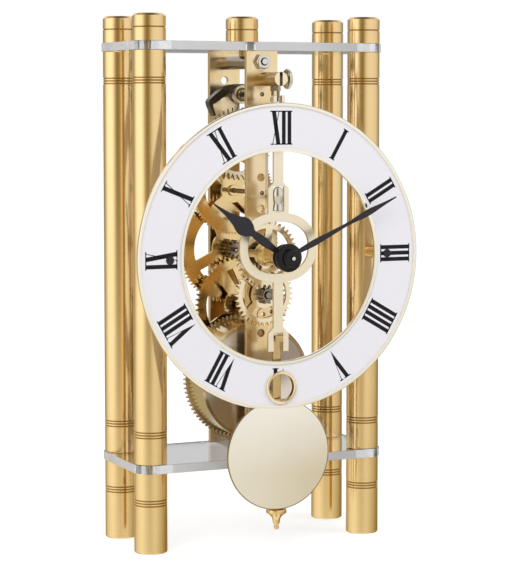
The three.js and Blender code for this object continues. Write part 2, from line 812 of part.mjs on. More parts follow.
function buildTrain() {
  const intermediateWheel = crossedWheel({
    teeth: intermediateTeeth, module: intermediateModule, from: axes.intermediate, to: axes.center,
    plane: middlePlane, arms: 4, armWidth: 4.4, rim: 3.3, hub: 7.2, bore: wheelBore, turn: 0.6,
  });
  const centerWheel = crossedWheel({
    teeth: centerTeeth, module: centerModule, from: axes.center, to: axes.third,
    plane: centerPlane, arms: 4, armWidth: 4.2, rim: 5.2, hub: 7.2, bore: wheelBore, turn: 0.44,
  });
  const thirdWheel = crossedWheel({
    teeth: thirdTeeth, module: thirdModule, from: axes.third, to: axes.escape,
    plane: middlePlane, arms: 4, armWidth: 3.7, rim: 4.6, hub: 4.8, bore: wheelBore, turn: Math.PI / 4,
  });
  const intermediateArbor = pinionArbor(
    intermediateLeaves, greatModule, axes.barrel, axes.intermediate, greatPlane, 4.6,
  );
  const thirdArbor = pinionArbor(thirdLeaves, centerModule, axes.center, axes.third, centerPlane, 3.6);
  const escapeArbor = pinionArbor(escapeLeaves, thirdModule, axes.third, axes.escape, middlePlane, 4.4);
  return groupOf(
    onAxis(
      axes.intermediate,
      piece('intermediate_arbor', intermediateArbor, 'steel'),
      piece('intermediate_wheel', intermediateWheel, 'wheelBrass'),
    ),
    onAxis(
      axes.center,
      piece('center_arbor', centerArbor(), 'steel'),
      piece('center_wheel', centerWheel, 'wheelBrass'),
    ),
    onAxis(
      axes.third,
      piece('third_arbor', thirdArbor, 'steel'),
      piece('third_wheel', thirdWheel, 'wheelBrass'),
    ),
    onAxis(
      axes.escape,
      piece('escape_arbor', escapeArbor, 'steel'),
      piece('escape_wheel', escapeWheel(), 'paleBrass'),
    ),
  );
}

// Escapement: a bent steel anchor on the pallet arbor, and the crutch that meets the pendulum
const palletPoint = (() => {
  const reach = escapeRadius + palletGap;
  const angle = THREE.MathUtils.degToRad(palletHalfSpan);
  return { x: reach * Math.sin(angle), z: reach * Math.cos(angle) - escapeToPallets };
})();

function anchor() {
  const elbow = { x: palletPoint.x + 1.7, z: palletPoint.z + 5.4 };
  const crown = colletDiameter / 2 - anchorThickness / 2;
  const path = [
    [-palletPoint.x, palletPoint.z], [-elbow.x, elbow.z], [-1.6, crown],
    [1.6, crown], [elbow.x, elbow.z], [palletPoint.x, palletPoint.z],
  ];
  const back = frontInner + escapePlane + anchorWidth / 2;
  const strip = sheet(bentStrip(path, anchorThickness), [], back, anchorWidth);
  const hub = sheet(circle(colletDiameter / 2 - 0.2, turnedSides), [circle(wheelBore)], back, anchorWidth);
  return strip.add(hub).subtract(turnedAlongY(rod(wheelBore, frontInner, backInner), smallSides));
}

function palletArbor() {
  const colletBack = frontInner + escapePlane - anchorWidth / 2 - clearance / 2;
  const collet = turnedAlongY(rod(colletDiameter / 2, colletBack - 2, colletBack), turnedSides);
  return plainArbor().add(collet);
}

const crutchDrop = palletZ - (thirdZ - 1.6);

function crutch() {
  const depth = frontInner + 3.4;
  const hub = turnedAlongY(tube(wheelBore, 2.6, depth - 1.2, depth + 1.2), smallSides);
  const pin = leaderFront - 1;
  const route = wire([
    [1.9, depth, -0.6], [crutchOffset - 0.5, depth, -5], [crutchOffset, depth, -9],
    [crutchOffset, depth, -crutchDrop + 2.4], [crutchOffset, depth - 2, -crutchDrop],
    [crutchOffset, frontFace - 5, -crutchDrop], [0.6, leaderBack + 2.6, -crutchDrop], [0, pin, -crutchDrop],
  ], crutchWire, 20);
  return hub.add(route).subtract(turnedAlongY(rod(wheelBore, frontInner, backInner), smallSides));
}

function buildEscapement() {
  return onAxis(
    axes.pallets,
    piece('pallet_arbor', palletArbor(), 'wheelBrass'),
    piece('pallet_anchor', anchor(), 'steel'),
    piece('crutch', crutch(), 'nickel'),
  );
}

// Suspension: a slotted post, its thumb screw and the two-leaf spring that the pendulum hangs on
const springMiddle = dialBack + springToDial + springWidth / 2;
const postFront = springMiddle - springWidth / 2 - postPastSpring;
const thumbDepth = springMiddle;
const blockLow = -springFreeLength / 2 - blockHeight;
const hangerPinRadius = 0.4;
const hangerPinZ = -springFreeLength / 2 - blockHeight / 2;

function suspensionPost() {
  const radius = postDiameter / 2;
  const tenon = tenonDiameter / 2;
  const post = turnedAlongY([
    [0, postFront], [radius, postFront], [radius, frontFace], [tenon, frontFace],
    [tenon, frontInner], [0, frontInner],
  ], turnedSides);
  const slotBack = springMiddle + springWidth / 2 + clearance;
  const slot = block(
    blockThickness, slotBack - postFront + 1, postDiameter + 1,
    0, (slotBack + postFront - 1) / 2, 0,
  );
  const screwHole = turnedAlongX(rod(tenon + clearance, 0, postDiameter), smallSides);
  return post.subtract(slot).subtract(screwHole.translate(0, thumbDepth, 0));
}

function thumbScrew() {
  const shank = tenonDiameter / 2;
  const head = thumbDiameter / 2;
  const tip = blockThickness / 2;
  const headStart = postDiameter / 2 + 1.6;
  const headEnd = headStart + thumbThickness;
  return turnedAlongX([
    [0, tip], [shank, tip], [shank, headStart - 1], [shank + 0.6, headStart], [head - 0.3, headStart],
    [head, headStart + 0.3], [head, headEnd - 0.3], [head - 0.3, headEnd], [0, headEnd],
  ], turnedSides);
}

function suspensionSpring() {
  const half = springFreeLength / 2;
  const blockTop = postRise + tenonDiameter / 2;
  const top = block(blockThickness, springWidth, blockTop - half, 0, springMiddle, (blockTop + half) / 2);
  const bottom = block(blockThickness, springWidth, blockHeight, 0, springMiddle, -half - blockHeight / 2);
  const leafY = springWidth / 2 - springLeafWidth / 2;
  const leaves = [-1, 1].map((side) => (
    block(springLeafThickness, springLeafWidth, springFreeLength + 0.4, 0, springMiddle + side * leafY, 0)
  ));
  const pin = turnedAlongX(rod(hangerPinRadius, -leaderWidth / 2, leaderWidth / 2), smallSides);
  return top.add(bottom).add(leaves[0]).add(leaves[1]).add(pin.translate(0, leaderMiddle, hangerPinZ));
}

// Pendulum: a flat leader with a slot for the crutch, an oval ring round the hands and a fork
const ringMiddle = centerZ + ringRise - palletZ;
const ringTop = ringMiddle + ringHeight / 2;
const headTop = ringTop + leaderHeadHeight;
const forkTop = ringMiddle - ringHeight / 2 - lowerStem;
const forkBottom = forkTop - forkHeight;
const forkPinRadius = 0.45;
const forkPinZ = forkTop - forkSlotDepth / 2 - 0.9;

function oval(width, height) {
  return circle(1, discSides).map(([x, z]) => [x * width / 2, ringMiddle + z * height / 2]);
}

function leader() {
  const stem = leaderWidth / 2;
  const overlap = ringBand / 2;
  const strip = (left, right, low, high) => (
    sheet(rectangle(left, right, low, high), [], leaderBack, leaderThickness)
  );
  const slotTop = headTop - 1.4;
  const crutchSlot = rectangle(-crutchSlotWidth / 2, crutchSlotWidth / 2, ringTop + 0.4, slotTop);
  const headHalf = leaderHeadWidth / 2;
  const head = sheet([
    [-headHalf, ringTop - overlap], [headHalf, ringTop - overlap], [headHalf, headTop - 2.2],
    [stem, headTop], [-stem, headTop], [-headHalf, headTop - 2.2],
  ], [crutchSlot], leaderBack, leaderThickness);
  const ring = sheet(
    oval(ringWidth, ringHeight),
    [oval(ringWidth - 2 * ringBand, ringHeight - 2 * ringBand)],
    leaderBack,
    leaderThickness,
  );
  const slotHalf = forkSlotWidth / 2;
  const forkRoof = forkTop - forkHeight + forkSlotDepth;
  const fork = sheet([
    [-headHalf, forkBottom], [-slotHalf, forkBottom], [-slotHalf, forkRoof], [slotHalf, forkRoof],
    [slotHalf, forkBottom], [headHalf, forkBottom], [headHalf, forkTop - 2.2], [stem, forkTop],
    [-stem, forkTop], [-headHalf, forkTop - 2.2],
  ], [], leaderBack, leaderThickness);
  const forkPin = turnedAlongX(rod(forkPinRadius, -slotHalf - 1, slotHalf + 1), smallSides);
  const hangerTop = hangerPinZ + hangerPinRadius + clearance + 0.8;
  const hangerLow = blockLow - 1.6;
  const hangerDepth = leaderThickness + 1.2;
  const hangerZ = (hangerTop + hangerLow) / 2;
  const hanger = block(leaderWidth + 0.6, hangerDepth, hangerTop - hangerLow, 0, leaderMiddle, hangerZ);
  const hangerSlot = block(
    blockThickness + 2 * clearance, hangerDepth + 1, hangerTop - blockLow + 1,
    0, leaderMiddle, (hangerTop + 1 + blockLow - clearance) / 2,
  );
  const pinHole = turnedAlongX(rod(hangerPinRadius + clearance, -leaderWidth, leaderWidth), smallSides);
  return strip(-stem, stem, headTop - 0.5, hangerLow + 0.5)
    .add(head)
    .add(ring)
    .add(strip(-stem, stem, forkTop - 0.5, ringMiddle - ringHeight / 2 + overlap))
    .add(fork)
    .add(forkPin.translate(0, leaderMiddle, forkPinZ))
    .add(hanger.subtract(hangerSlot).subtract(pinHole.translate(0, leaderMiddle, hangerPinZ)));
}

const hookFront = leaderBack + clearance;
const hookBack = hookFront + hookThickness;
const rodY = (hookFront + hookBack) / 2;
const bobZ = -pendulumLength;
const bobLow = bobZ - bobDiameter / 2;
const ratingTop = bobLow;
const stripEnd = bobLow + lugHeight + ratingTravel + 0.8;
const bobBack = rodY - ratingThread / 2 - clearance;
const threadEnd = ratingTop - ratingHeight + 3.2;

// The bob's strip hooks over the pin in the fork and ends in the thread for the rating nut.
function bobHook() {
  const seat = forkPinZ + forkPinRadius + clearance;
  const lip = leaderMiddle - forkPinRadius - clearance;
  const outline = [
    [hookFront, stripEnd], [hookBack, stripEnd], [hookBack, seat + hookThickness],
    [lip - hookThickness, seat + hookThickness], [lip - hookThickness, forkPinZ - 0.9],
    [lip, forkPinZ - 0.9], [lip, seat], [hookFront, seat],
  ];
  const strip = profileAcross(outline, hookWidth);
  const thread = turnedAlongZ(rod(ratingThread / 2, threadEnd, stripEnd + 4), smallSides);
  return strip.add(thread.translate(0, rodY, 0));
}

// A shallow dished disc, with a lug behind it that slides on the thread and sits on the rating nut.
function bob() {
  const radius = bobDiameter / 2;
  const front = bobBack - bobThickness;
  const disc = turnedAlongY([
    [0, front], [radius * 0.6, front + 0.1], [radius - 0.8, front + 0.35], [radius, front + 0.8],
    [radius, bobBack - 0.3], [radius - 0.3, bobBack], [0, bobBack],
  ], discSides);
  const lugBack = rodY + ratingThread / 2 + 1.2;
  const lugFront = bobBack - bobThickness / 4;
  const lugZ = -radius + lugHeight / 2;
  const lug = block(lugWidth, lugBack - lugFront, lugHeight, 0, (lugBack + lugFront) / 2, lugZ);
  const bore = ratingThread / 2 + clearance;
  const hole = turnedAlongZ(rod(bore, -radius - 1, -radius + lugHeight + 1), smallSides);
  return disc.add(lug).subtract(hole.translate(0, rodY, 0));
}

function ratingNut() {
  const flange = ratingFlangeDiameter / 2;
  const bore = ratingThread / 2 + clearance;
  const tip = ratingTop - ratingHeight;
  return turnedAlongZ([
    [0, tip], [0.6, tip + 0.2], [1, tip + 0.9], [1, tip + 2], [1.7, tip + 2.4], [2.2, tip + 3.6],
    [flange - 0.4, tip + 5], [flange, tip + 5.4], [flange, ratingTop - 0.4], [flange - 0.4, ratingTop],
    [bore, ratingTop], [bore, tip + 1.6], [0, tip + 1.6],
  ], turnedSides).translate(0, rodY, 0);
}

function buildPendulum() {
  return onAxis(
    axes.pallets,
    piece('suspension_post', suspensionPost(), 'brass', 0, postRise),
    piece('thumb_screw', thumbScrew(), 'nickel', 0, postRise, thumbDepth),
    piece('suspension_spring', suspensionSpring(), 'wheelBrass'),
    piece('pendulum_leader', leader(), 'paleBrass'),
    piece('bob_hook', bobHook(), 'paleBrass'),
    piece('bob', bob(), 'paleBrass', 0, bobZ),
    piece('rating_nut', ratingNut(), 'gold'),
  );
}

// Motion work: cannon pinion, minute wheel and hour wheel, in front of the front plate
const minuteModule = 2 * motionDistance / (cannonLeaves + minuteTeeth);
const hourModule = 2 * motionDistance / (minuteLeaves + hourTeeth);
const minuteStudRadius = 1.2;
const minuteWheelBack = frontFace - motionGap;
const hourWheelBack = minuteWheelBack - wheelThickness - motionGap;
const minutePinionFront = hourWheelBack - wheelThickness - 0.8;
const minuteStudTip = minutePinionFront - 0.8;

function cannonPinion() {
  const bore = handArborDiameter / 2 + clearance;
  const pipe = cannonPipeDiameter / 2;
  const back = frontFace - 0.4;
  const leaves = toothed(cannonLeaves, minuteModule, leafTooth, -Math.PI / 2 + Math.PI / cannonLeaves);
  const pinion = sheet(leaves, [circle(bore)], back, wheelThickness + motionGap);
  return pinion.add(turnedAlongY(tube(bore, pipe, minuteHandBack - handThickness, back), smallSides));
}

function minuteWheel() {
  const bore = minuteStudRadius + clearance;
  const rim = minuteModule * (minuteTeeth / 2 - wheelTooth.ded) - 1.6;
  const wheel = sheet(
    toothed(minuteTeeth, minuteModule, wheelTooth, Math.PI / 2),
    [circle(bore), ...crossings(5.2, rim, 4, 2, Math.PI / 4)],
    minuteWheelBack,
    wheelThickness,
  );
  const leaves = toothed(minuteLeaves, hourModule, leafTooth, Math.PI / 2 + Math.PI / minuteLeaves);
  const pinionBack = minuteWheelBack - wheelThickness / 2;
  const pinion = sheet(leaves, [circle(bore)], pinionBack, pinionBack - minutePinionFront);
  return wheel.add(pinion);
}

function hourWheel() {
  const bore = cannonPipeDiameter / 2 + clearance;
  const pipe = hourPipeDiameter / 2;
  const windows = crossings(4.8, hourModule * (hourTeeth / 2 - wheelTooth.ded) - 1.6, 4, 2.8, -0.1);
  const wheel = sheet(
    toothed(hourTeeth, hourModule, wheelTooth, -Math.PI / 2),
    [circle(bore), ...windows],
    hourWheelBack,
    wheelThickness,
  );
  const front = hourHandBack - handThickness;
  return wheel.add(turnedAlongY(tube(bore, pipe, front, hourWheelBack - wheelThickness / 2), smallSides));
}

// Hands: blades as half widths at shares of the reach
const hourBlade = [
  [0.16, 1.1], [0.29, 1.65], [0.46, 1.25], [0.5, 2.5], [0.59, 3.4], [0.66, 2.5], [0.82, 0.9], [1, 0.2],
];
const minuteBlade = [
  [0.11, 0.8], [0.24, 1.15], [0.36, 0.95], [0.53, 0.6], [0.63, 0.85],
  [0.71, 1.15], [0.77, 1.1], [0.88, 0.6], [1, 0.2],
];

function hand(reach, bladeWidths, hubRadius, bore, back) {
  const root = [bladeWidths[0][1], hubRadius - 0.4];
  const side = [root, ...bladeWidths.map(([share, half]) => [half, share * reach])];
  const mirrored = side.map(([half, along]) => [-half, along]).reverse();
  const blade = sheet([...side, ...mirrored], [], back, handThickness);
  const hub = sheet(circle(hubRadius, turnedSides), [circle(bore)], back, handThickness);
  return hub.add(blade);
}

function clockwise(mesh, degrees) {
  mesh.rotation.y = THREE.MathUtils.degToRad(degrees);
  return mesh;
}

function handNut() {
  const flange = handNutDiameter / 2;
  const bore = handArborDiameter / 2 + clearance;
  return turnedAlongY([
    [bore, handNutFront], [2.6, handNutFront], [3.4, handNutFront + 0.6], [3.4, handNutFront + 2.4],
    [flange - 0.6, handNutFront + 2.8], [flange, handNutFront + 3.4], [flange, handNutBack],
    [bore, handNutBack], [bore, handNutFront],
  ], turnedSides);
}

function buildMotionWork() {
  const hourBore = hourPipeDiameter / 2 + clearance;
  const minuteBore = cannonPipeDiameter / 2 + clearance;
  const hourHand = hand(hourReach, hourBlade, 4.9, hourBore, hourHandBack);
  const minuteHand = hand(minuteReach, minuteBlade, 4.4, minuteBore, minuteHandBack);
  return groupOf(
    onAxis(axes.minute, piece('minute_wheel', minuteWheel(), 'brass')),
    onAxis(
      axes.center,
      piece('cannon_pinion', cannonPinion(), 'steel'),
      piece('hour_wheel', hourWheel(), 'brass'),
      clockwise(piece('hour_hand', hourHand, 'black'), hourAngle),
      clockwise(piece('minute_hand', minuteHand, 'black'), minuteAngle),
      piece('hand_nut', handNut(), 'black'),
    ),
  );
}

// Dial: a ring with raised rims on two posts, and the bush of the winding hole
function dial() {
  const face = dialFace;
  const rim = dialFace - rimHeight;
  const ring = turnedAlongY([
    [dialInner, rim], [dialInner + rimWidth - 0.2, rim], [dialInner + rimWidth, face],
    [dialOuter - rimWidth, face], [dialOuter - rimWidth + 0.2, rim], [dialOuter, rim + 0.2],
    [dialOuter, dialBack], [dialInner, dialBack], [dialInner, rim],
  ], dialSides);
  const bushHole = turnedAlongY(rod(bushSpigot + clearance, face - 3, dialBack + 3), turnedSides);
  const screwHole = turnedAlongY(rod(dialScrewShank / 2 + clearance, face - 3, dialBack + 3), smallSides);
  return ring
    .subtract(bushHole.translate(0, 0, barrelZ - centerZ))
    .subtract(screwHole.translate(-pillarSpanX / 2, 0, 0))
    .subtract(screwHole.translate(pillarSpanX / 2, 0, 0));
}

const bushSpigot = bushOuter / 2 - 0.6;

function windingBush() {
  const inner = bushInner / 2;
  const outer = bushOuter / 2;
  const shoulder = dialFace - 0.7;
  const front = dialFace - 1.1;
  return turnedAlongY([
    [inner, shoulder], [inner + 0.3, front], [outer - 0.3, front], [outer, shoulder],
    [outer, dialFace], [bushSpigot, dialFace], [bushSpigot, dialBack], [inner, dialBack], [inner, shoulder],
  ], turnedSides);
}

function dialPost() {
  const radius = dialPostDiameter / 2;
  const bore = dialScrewShank / 2 + clearance;
  return turnedAlongY([
    [bore, dialBack], [radius, dialBack], [radius, dialBack + dialPostLength], [0, dialBack + dialPostLength],
    [0, dialBack + dialPostLength - 2], [bore, dialBack + dialPostLength - 2], [bore, dialBack],
  ], smallSides);
}

function dialScrew() {
  const head = dialScrewHead / 2;
  const shank = dialScrewShank / 2;
  const end = dialBack + dialPostLength - 3;
  return turnedAlongY([
    [0, dialFace - 0.7], [head - 0.3, dialFace - 0.7], [head, dialFace - 0.4], [head, dialFace],
    [shank, dialFace], [shank, end], [0, end],
  ], smallSides);
}

function buildDial() {
  const side = pillarSpanX / 2;
  return onAxis(
    axes.center,
    piece('dial', dial(), 'dialWhite'),
    piece('winding_bush', windingBush(), 'gold', 0, barrelZ - centerZ),
    piece('dial_post_left', dialPost(), 'gold', -side),
    piece('dial_post_right', dialPost(), 'gold', side),
    piece('dial_screw_left', dialScrew(), 'black', -side),
    piece('dial_screw_right', dialScrew(), 'black', side),
  );
}

const clock = groupOf(
  buildCase(),
  buildFrame(),
  buildBarrel(),
  buildTrain(),
  buildEscapement(),
  buildPendulum(),
  buildMotionWork(),
  buildDial(),
);
clock.position.y = -(arborTip + rearmost) / 2;

export default clock;
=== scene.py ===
"""Looks of the skeleton table clock: turned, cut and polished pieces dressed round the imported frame.

Sizes are in millimetres in the movement's own frame: X to the viewer's right, Y 0 midway between the
pillars with the dial towards -Y, Z up from the table. A finished mesh goes into the row frame, in metres.
"""

from __future__ import annotations

import logging
import math
from dataclasses import dataclass
from enum import Enum
from typing import Callable, Iterable, Sequence

import bmesh
import bpy
from bpy.types import Material, Mesh, Node, NodeSocket, NodeTree, Object
from mathutils import Matrix, Vector

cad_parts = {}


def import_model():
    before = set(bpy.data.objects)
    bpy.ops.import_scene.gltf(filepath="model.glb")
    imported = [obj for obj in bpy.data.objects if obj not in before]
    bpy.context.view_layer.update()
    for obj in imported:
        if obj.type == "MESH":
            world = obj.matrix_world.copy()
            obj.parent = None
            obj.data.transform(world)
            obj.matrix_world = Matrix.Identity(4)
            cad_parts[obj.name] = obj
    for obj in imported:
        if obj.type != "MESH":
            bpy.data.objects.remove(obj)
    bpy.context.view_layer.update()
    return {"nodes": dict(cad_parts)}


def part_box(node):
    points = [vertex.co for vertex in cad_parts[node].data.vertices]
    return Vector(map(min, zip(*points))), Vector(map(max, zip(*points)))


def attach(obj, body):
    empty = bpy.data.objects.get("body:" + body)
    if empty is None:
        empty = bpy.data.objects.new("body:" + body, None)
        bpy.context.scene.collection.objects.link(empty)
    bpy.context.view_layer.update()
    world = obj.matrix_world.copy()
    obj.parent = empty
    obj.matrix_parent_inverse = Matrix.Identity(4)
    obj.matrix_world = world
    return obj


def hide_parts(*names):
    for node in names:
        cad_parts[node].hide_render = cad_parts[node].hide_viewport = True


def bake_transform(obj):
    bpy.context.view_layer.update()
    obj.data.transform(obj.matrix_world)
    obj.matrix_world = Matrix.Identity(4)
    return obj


MM = 0.001
LOG = logging.getLogger("clock")
TURN = 2 * math.pi
QUARTER = math.pi / 2
PLAY = 0.3
WELD = 2e-4
SLIVER = 1e-5
CREASE = math.radians(34)
ACRYLIC_IOR = 1.49
WHITE = (1, 1, 1, 1)
GROOVE = ((-0.27, 0.0), (-0.2, 0.12), (-0.07, 0.33), (0.07, 0.33), (0.2, 0.12), (0.27, 0.0))

Point = tuple[float, float]
Loop = list[Point]
Spot = tuple[float, float, float]
Color = tuple[float, float, float]
Rule = Callable[[Vector, Vector], int]


class Axis(Enum):
    """The direction that a turned piece runs along."""

    X = "x"
    Y = "y"
    Z = "z"


class ToothForm(Enum):
    """Tooth outlines, as heights from root to tip at even steps over one pitch."""

    WHEEL = (0, 0, 0, 0.12, 0.62, 0.93, 1, 0.93, 0.62, 0.12, 0, 0)
    LEAF = (0, 0, 0, 0, 0.06, 0.45, 0.8, 0.96, 1, 0.96, 0.8, 0.45, 0.06, 0, 0, 0)
    ESCAPE = (0, 0, 0.06, 0.16, 0.3, 0.47, 0.68, 0.92, 1, 0.55, 0.02, 0)
    RATCHET = (0, 0.12, 0.24, 0.36, 0.48, 0.6, 0.72, 0.84, 1, 0.5)


class Grain(Enum):
    """The way a tool has left its fine lines, as stretch factors of the pattern along X, Y and Z."""

    POLISHED = (1.0, 1.0, 1.0)
    TURNED = (0.01, 0.01, 1.0)
    STRAIGHT = (1.0, 1.0, 0.012)


class Sheen(Enum):
    """What a finish is made of, which decides its shader."""

    METAL = 1
    PAINT = 2
    CLEAR = 3


@dataclass(frozen=True)
class Layout:
    """Heights of the arbors and depths of the layers, as the frame has them."""

    barrel: Point = (0.0, 61.696)
    intermediate: Point = (3.7, 88.32)
    center: Point = (0.0, 110.412)
    third: Point = (0.0, 133.292)
    escape: Point = (0.0, 151.492)
    pallets: Point = (0.0, 170.392)
    minute: Point = (0.0, 95.112)
    post: Point = (0.0, 175.992)
    top_pillar: Point = (0.0, 182.592)
    bar: Point = (0.0, 35.1)
    bob: Point = (0.0, 36.192)
    click: Point = (-4.4, 51.096)
    front_inner: float = -16.5
    front_face: float = -18.5
    back_inner: float = 16.5
    back_face: float = 18.5
    foot_top: float = 30.1
    lower_top: float = 33.4
    upper_bottom: float = 186.592
    upper_top: float = 189.892
    dial_back: float = -34.397
    dial_face: float = -35.397
    leader_front: float = -33.197
    leader_back: float = -31.997
    leader_middle: float = -32.597
    hour_hand_back: float = -38.397
    minute_hand_back: float = -40.597
    hand_nut_back: float = -41.297
    hand_nut_front: float = -45.697
    arbor_tip: float = -46.496
    wheel: float = 1.2


PLACE = Layout()


def arc(radius: float, start: float, end: float, steps: int, x: float = 0.0, z: float = 0.0) -> Loop:
    """Points on an arc round x and z, from one angle in radians to another, both ends included."""
    turns = [start + (end - start) * i / steps for i in range(steps + 1)]
    return [(x + radius * math.cos(t), z + radius * math.sin(t)) for t in turns]


def circle(radius: float, x: float = 0.0, z: float = 0.0, steps: int = 40) -> Loop:
    """A closed circle of points round a centre."""
    return arc(radius, 0.0, TURN, steps, x, z)[:-1]


def rectangle(left: float, right: float, low: float, high: float) -> Loop:
    """The four corners of a rectangle."""
    return [(left, low), (right, low), (right, high), (left, high)]


def moved(loop: Iterable[Point], x: float, z: float) -> Loop:
    """The same loop, shifted."""
    return [(px + x, pz + z) for px, pz in loop]


def toward(a: Point, b: Point) -> float:
    """The angle from one arbor to another."""
    return math.atan2(b[1] - a[1], b[0] - a[0])


def soften(points: Sequence[Point], size: float, closed: bool = False) -> Loop:
    """Breaks the corners of a line of points with small rounds.

    Args:
        points: the corners.
        size: how far along each side a round starts.
        closed: whether the last point joins the first.

    Returns:
        The line with three points at each broken corner.
    """
    count, most = len(points), 0.45
    soft: Loop = []
    for i, corner in enumerate(points):
        sides = points[i - 1], points[(i + 1) % count]
        reach = min(size, *(most * math.dist(other, corner) for other in sides))
        if reach < 1e-4 or not closed and i in (0, count - 1):
            soft.append(corner)
            continue
        ends = []
        for other in sides:
            share = reach / math.dist(other, corner)
            ends.append(tuple(c + (o - c) * share for c, o in zip(corner, other)))
        middle = tuple(0.25 * a + 0.25 * b + 0.5 * c for a, b, c in zip(*ends, corner))
        soft += [ends[0], middle, ends[1]]
    return soft


def shaft(start: float, *steps: Point, bore: float = 0.0) -> Loop:
    """The profile of a stepped shaft or tube.

    Args:
        start: where its first end lies along the axis.
        *steps: the radius of each step and where it ends.
        bore: radius of its hole.

    Returns:
        Points as radius and distance, from the bore out and back to it.
    """
    profile = [(bore, start)]
    for radius, end in steps:
        profile += [(radius, start), (radius, end)]
        start = end
    return [*profile, (bore, start)]


def groove_band(radius: float, middle: float, count: int, pitch: float = 1.0) -> Loop:
    """A profile of fine turned grooves with flat lands between them, as radius and height."""
    heights = [middle + (i - (count - 1) / 2) * pitch for i in range(count)]
    return [(radius - depth, height + step) for height in heights for step, depth in GROOVE]


def below(polygon: Loop, limit: float) -> Loop:
    """The part of a convex polygon that lies under a height.

    Args:
        polygon: its corners.
        limit: the height.

    Returns:
        The corners of that part, or none.
    """
    part: Loop = []
    for (x0, z0), (x1, z1) in zip(polygon, [*polygon[1:], polygon[0]]):
        if z0 <= limit:
            part.append((x0, z0))
        if (z0 - limit) * (z1 - limit) < 0:
            part.append((x0 + (x1 - x0) * (limit - z0) / (z1 - z0), limit))
    return part


def mesh_of(name: str, corners: Sequence[Spot], faces: Sequence[Sequence[int]]) -> Mesh:
    """A mesh from corners and faces.

    Args:
        name: name of the mesh.
        corners: its corners.
        faces: numbers of the corners of each face.

    Returns:
        The mesh.
    """
    mesh = bpy.data.meshes.new(name)
    mesh.from_pydata(list(corners), [], [list(f) for f in faces])
    return mesh


def tidied(mesh: Mesh) -> Mesh:
    """Welds seams, points faces outwards and marks the edges that stay sharp.

    Args:
        mesh: a mesh in millimetres.

    Returns:
        The same mesh.
    """
    work = bmesh.new()
    work.from_mesh(mesh)
    bmesh.ops.remove_doubles(work, verts=work.verts, dist=WELD)
    bmesh.ops.dissolve_degenerate(work, edges=work.edges, dist=SLIVER)
    bmesh.ops.recalc_face_normals(work, faces=work.faces)
    work.to_mesh(mesh)
    work.free()
    mesh.shade_smooth()
    mesh.set_sharp_from_angle(angle=CREASE)
    return mesh


def lathe(profile: Sequence[Point], axis: Axis, at: Spot, steps: int = 72, closed: bool = False) -> Mesh:
    """Turns a profile round an axis.

    Args:
        profile: points as radius and distance along the axis.
        axis: the direction of the axis.
        at: a point that the axis passes through, and the zero of the distances.
        steps: number of facets round the axis.
        closed: whether the profile is a ring that doesn't meet the axis.

    Returns:
        A closed mesh.
    """
    corners: list[Spot] = []
    rings: list[list[int]] = []
    for radius, along in profile:
        ring = []
        for i in range(1 if radius < 1e-6 else steps):
            turn = TURN * i / steps
            a, b = radius * math.cos(turn), radius * math.sin(turn)
            spot = {Axis.X: (along, a, b), Axis.Y: (b, along, a), Axis.Z: (a, b, along)}[axis]
            ring.append(len(corners))
            corners.append(tuple(p + q for p, q in zip(spot, at)))
        rings.append(ring)
    faces: list[tuple[int, ...]] = []
    pairs = list(zip(rings, rings[1:])) + ([(rings[-1], rings[0])] if closed else [])
    for low, high in pairs:
        if len(low) == 1 and len(high) == 1:
            continue
        for i in range(steps):
            j = (i + 1) % steps
            face = [low[i % len(low)], low[j % len(low)], high[j % len(high)], high[i % len(high)]]
            faces.append(tuple(dict.fromkeys(face)))
    return tidied(mesh_of("turned", corners, faces))


def spin(profile: Sequence[Point], at: Point, steps: int = 40, closed: bool = False) -> Mesh:
    """A profile turned round an arbor, whose distances are depths."""
    return lathe(profile, Axis.Y, (at[0], 0.0, at[1]), steps, closed)


def shown(name: str, data: bpy.types.ID) -> Object:
    """A new object in the scene.

    Args:
        name: its name.
        data: its mesh, curve, camera or lamp.

    Returns:
        The object.
    """
    thing = bpy.data.objects.new(name, data)
    bpy.context.scene.collection.objects.link(thing)
    return thing


def evaluated(data: bpy.types.ID, *modifiers: tuple[str, dict]) -> Mesh:
    """A plain mesh of a curve or mesh with modifiers applied.

    Args:
        data: the curve or mesh.
        *modifiers: kinds of modifier and their settings, in order.

    Returns:
        The new mesh.
    """
    holder = shown("blank", data)
    for kind, settings in modifiers:
        modifier = holder.modifiers.new(kind.lower(), kind)
        for key, value in settings.items():
            if hasattr(modifier, key):
                setattr(modifier, key, value)
            else:
                modifier[key] = value
    graph = bpy.context.evaluated_depsgraph_get()
    mesh = bpy.data.meshes.new_from_object(holder.evaluated_get(graph))
    bpy.data.objects.remove(holder)
    return mesh


def sheet(outline: Loop, holes: Sequence[Loop], back: float, thickness: float, edge: float = 0.1) -> Mesh:
    """A flat piece that faces the front, with its edges broken.

    Args:
        outline: points across and up.
        holes: closed loops inside the outline.
        back: depth of its back face.
        thickness: thickness towards the viewer.
        edge: size of the broken edge.

    Returns:
        A closed mesh.
    """
    curve = bpy.data.curves.new("outline", "CURVE")
    curve.dimensions = "2D"
    curve.fill_mode = "BOTH"
    curve.extrude = thickness / 2 - edge
    curve.bevel_depth = edge
    curve.bevel_resolution = 1
    curve.offset = -edge
    for loop in (outline, *holes):
        spline = curve.splines.new("POLY")
        spline.points.add(len(loop) - 1)
        spline.use_cyclic_u = True
        for point, (x, z) in zip(spline.points, loop):
            point.co = (x, z, 0.0, 1.0)
    mesh = evaluated(curve)
    mesh.transform(Matrix.Translation((0, back - thickness / 2, 0)) @ Matrix.Rotation(QUARTER, 4, "X"))
    return tidied(mesh)


def block(size: Spot, at: Spot, edge: float = 0.1) -> Mesh:
    """A block with broken edges, of a width, depth and height, centred on a point."""
    face = moved(rectangle(-size[0] / 2, size[0] / 2, -size[2] / 2, size[2] / 2), at[0], at[2])
    return sheet(face, [], at[1] + size[1] / 2, size[1], edge)


